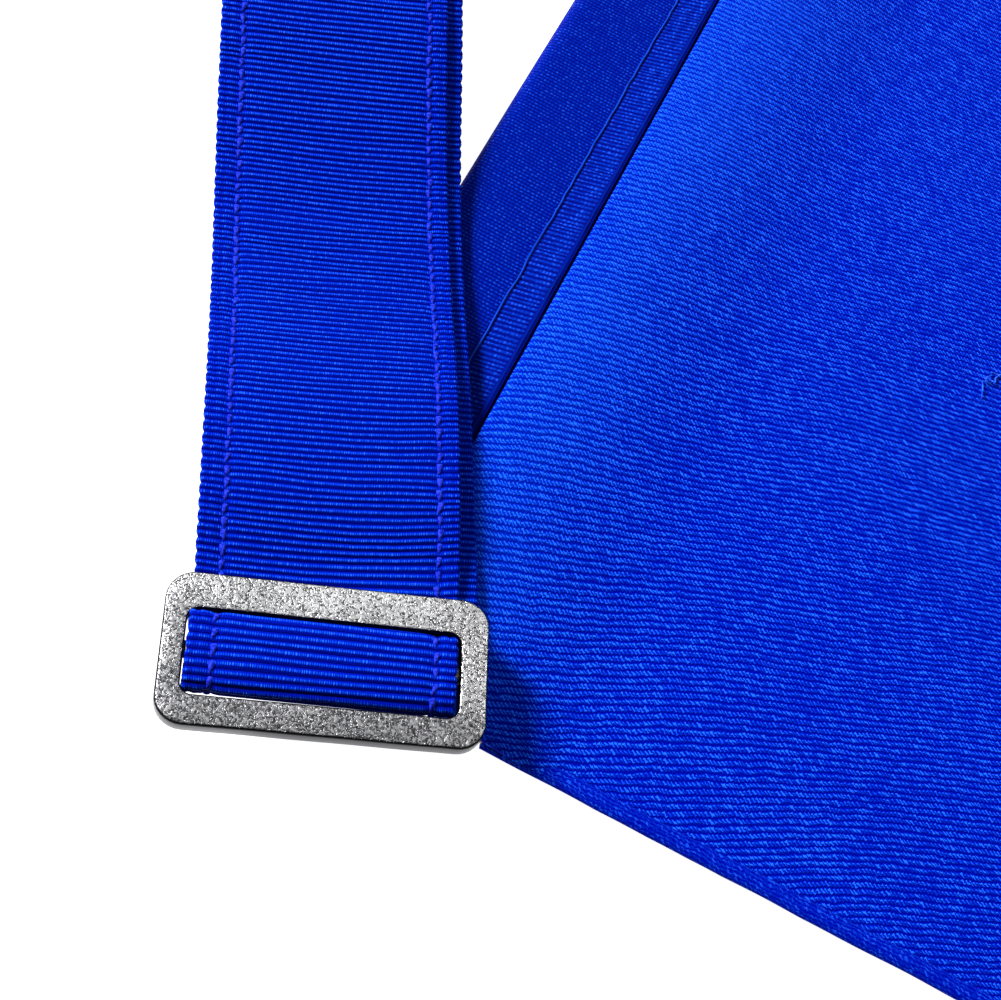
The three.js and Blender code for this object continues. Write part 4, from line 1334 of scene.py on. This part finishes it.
def thin_thread(path, radius, columns=6):
    """A round tube along a path. Its section stands square to the path's direction."""
    ahead = np.gradient(path, axis=0)
    ahead /= np.linalg.norm(ahead, axis=1, keepdims=True)
    aside = np.cross(ahead, np.array([0.2, 0.1, 1.0]))
    aside /= np.linalg.norm(aside, axis=1, keepdims=True)
    up = np.cross(aside, ahead)
    angle = 2 * np.pi * np.arange(columns) / columns
    ring = aside[:, None] * np.cos(angle)[:, None] + up[:, None] * np.sin(angle)[:, None]
    taper = np.sqrt(np.clip(np.sin(np.linspace(0.05, np.pi - 0.05, len(path))), 0.02, 1))[:, None, None]
    points = path[:, None] + radius * taper * ring
    return points.reshape(-1, 3), tube_quads(len(path), columns), np.ones(len(path) * columns)


KNOT_PLACE = np.array([122.1, -7.5])
lining_top = float(lining_middle(*KNOT_PLACE)) + 0.6
share = np.linspace(0, 1, 150)
tangle = np.stack([1.1 * np.sin(9.0 * share) + 0.5 * np.sin(23 * share),
                   1.3 * np.cos(7.0 * share) + 0.5 * np.sin(19 * share + 1),
                   0.35 + 0.3 * np.sin(15 * share) ** 2], -1)
share = np.linspace(0, 1, 60)
loose_end = np.stack([1.6 - 0.8 * share, 1.2 + 3.2 * share, 0.2 + 0.35 * np.sin(3 * share)], -1)
points, quads, _ = joined(thin_thread(tangle, 0.14), thin_thread(loose_end, 0.12))
points = points + np.array([*KNOT_PLACE, lining_top])
knot = make_mesh("thread_knot", points, quads, np.zeros((len(points), 2)), loose_thread)

# %% [markdown]
# ## Tying the pieces to the body
# Every piece is tied to the one rigid body, and the CAD nodes that it stands in for are hidden.

# %% Rides, stand-ins and slots
stands_for = [
    (field, "leather", ["front_field"]), (lining, "twill", ["lining"]), (hem, "twill", ["waist_hem"]),
    (flap, "leather", ["flap"]), (belt, "strap_ribbon", ["belt_adjustable"]),
    (short_belt, "strap_ribbon", ["belt_short"]), (slider, "cast_metal", ["slider"]),
    (hook, "cast_metal", ["belt_hook"]), (ring, "cast_metal", ["belt_ring"]),
    (belt_stitches, "strap_ribbon", []), (short_stitches, "strap_ribbon", []), (knot, "twill", []),
]
stands_for += [(borders[side], "border_ribbon", [f"border_{side}"]) for side in EDGES]
stands_for += [(tapes[side], "border_ribbon", [f"tape_{side}"]) for side in EDGES]
stands_for += [(flap_ribbons[side], "border_ribbon", [f"flap_border_{side}"]) for side in ("right", "left")]
for piece, material_slot, replaced in stands_for:
    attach(piece, "root")
    if replaced:
        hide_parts(*replaced)
print(len(stands_for), "pieces ride on the one body")
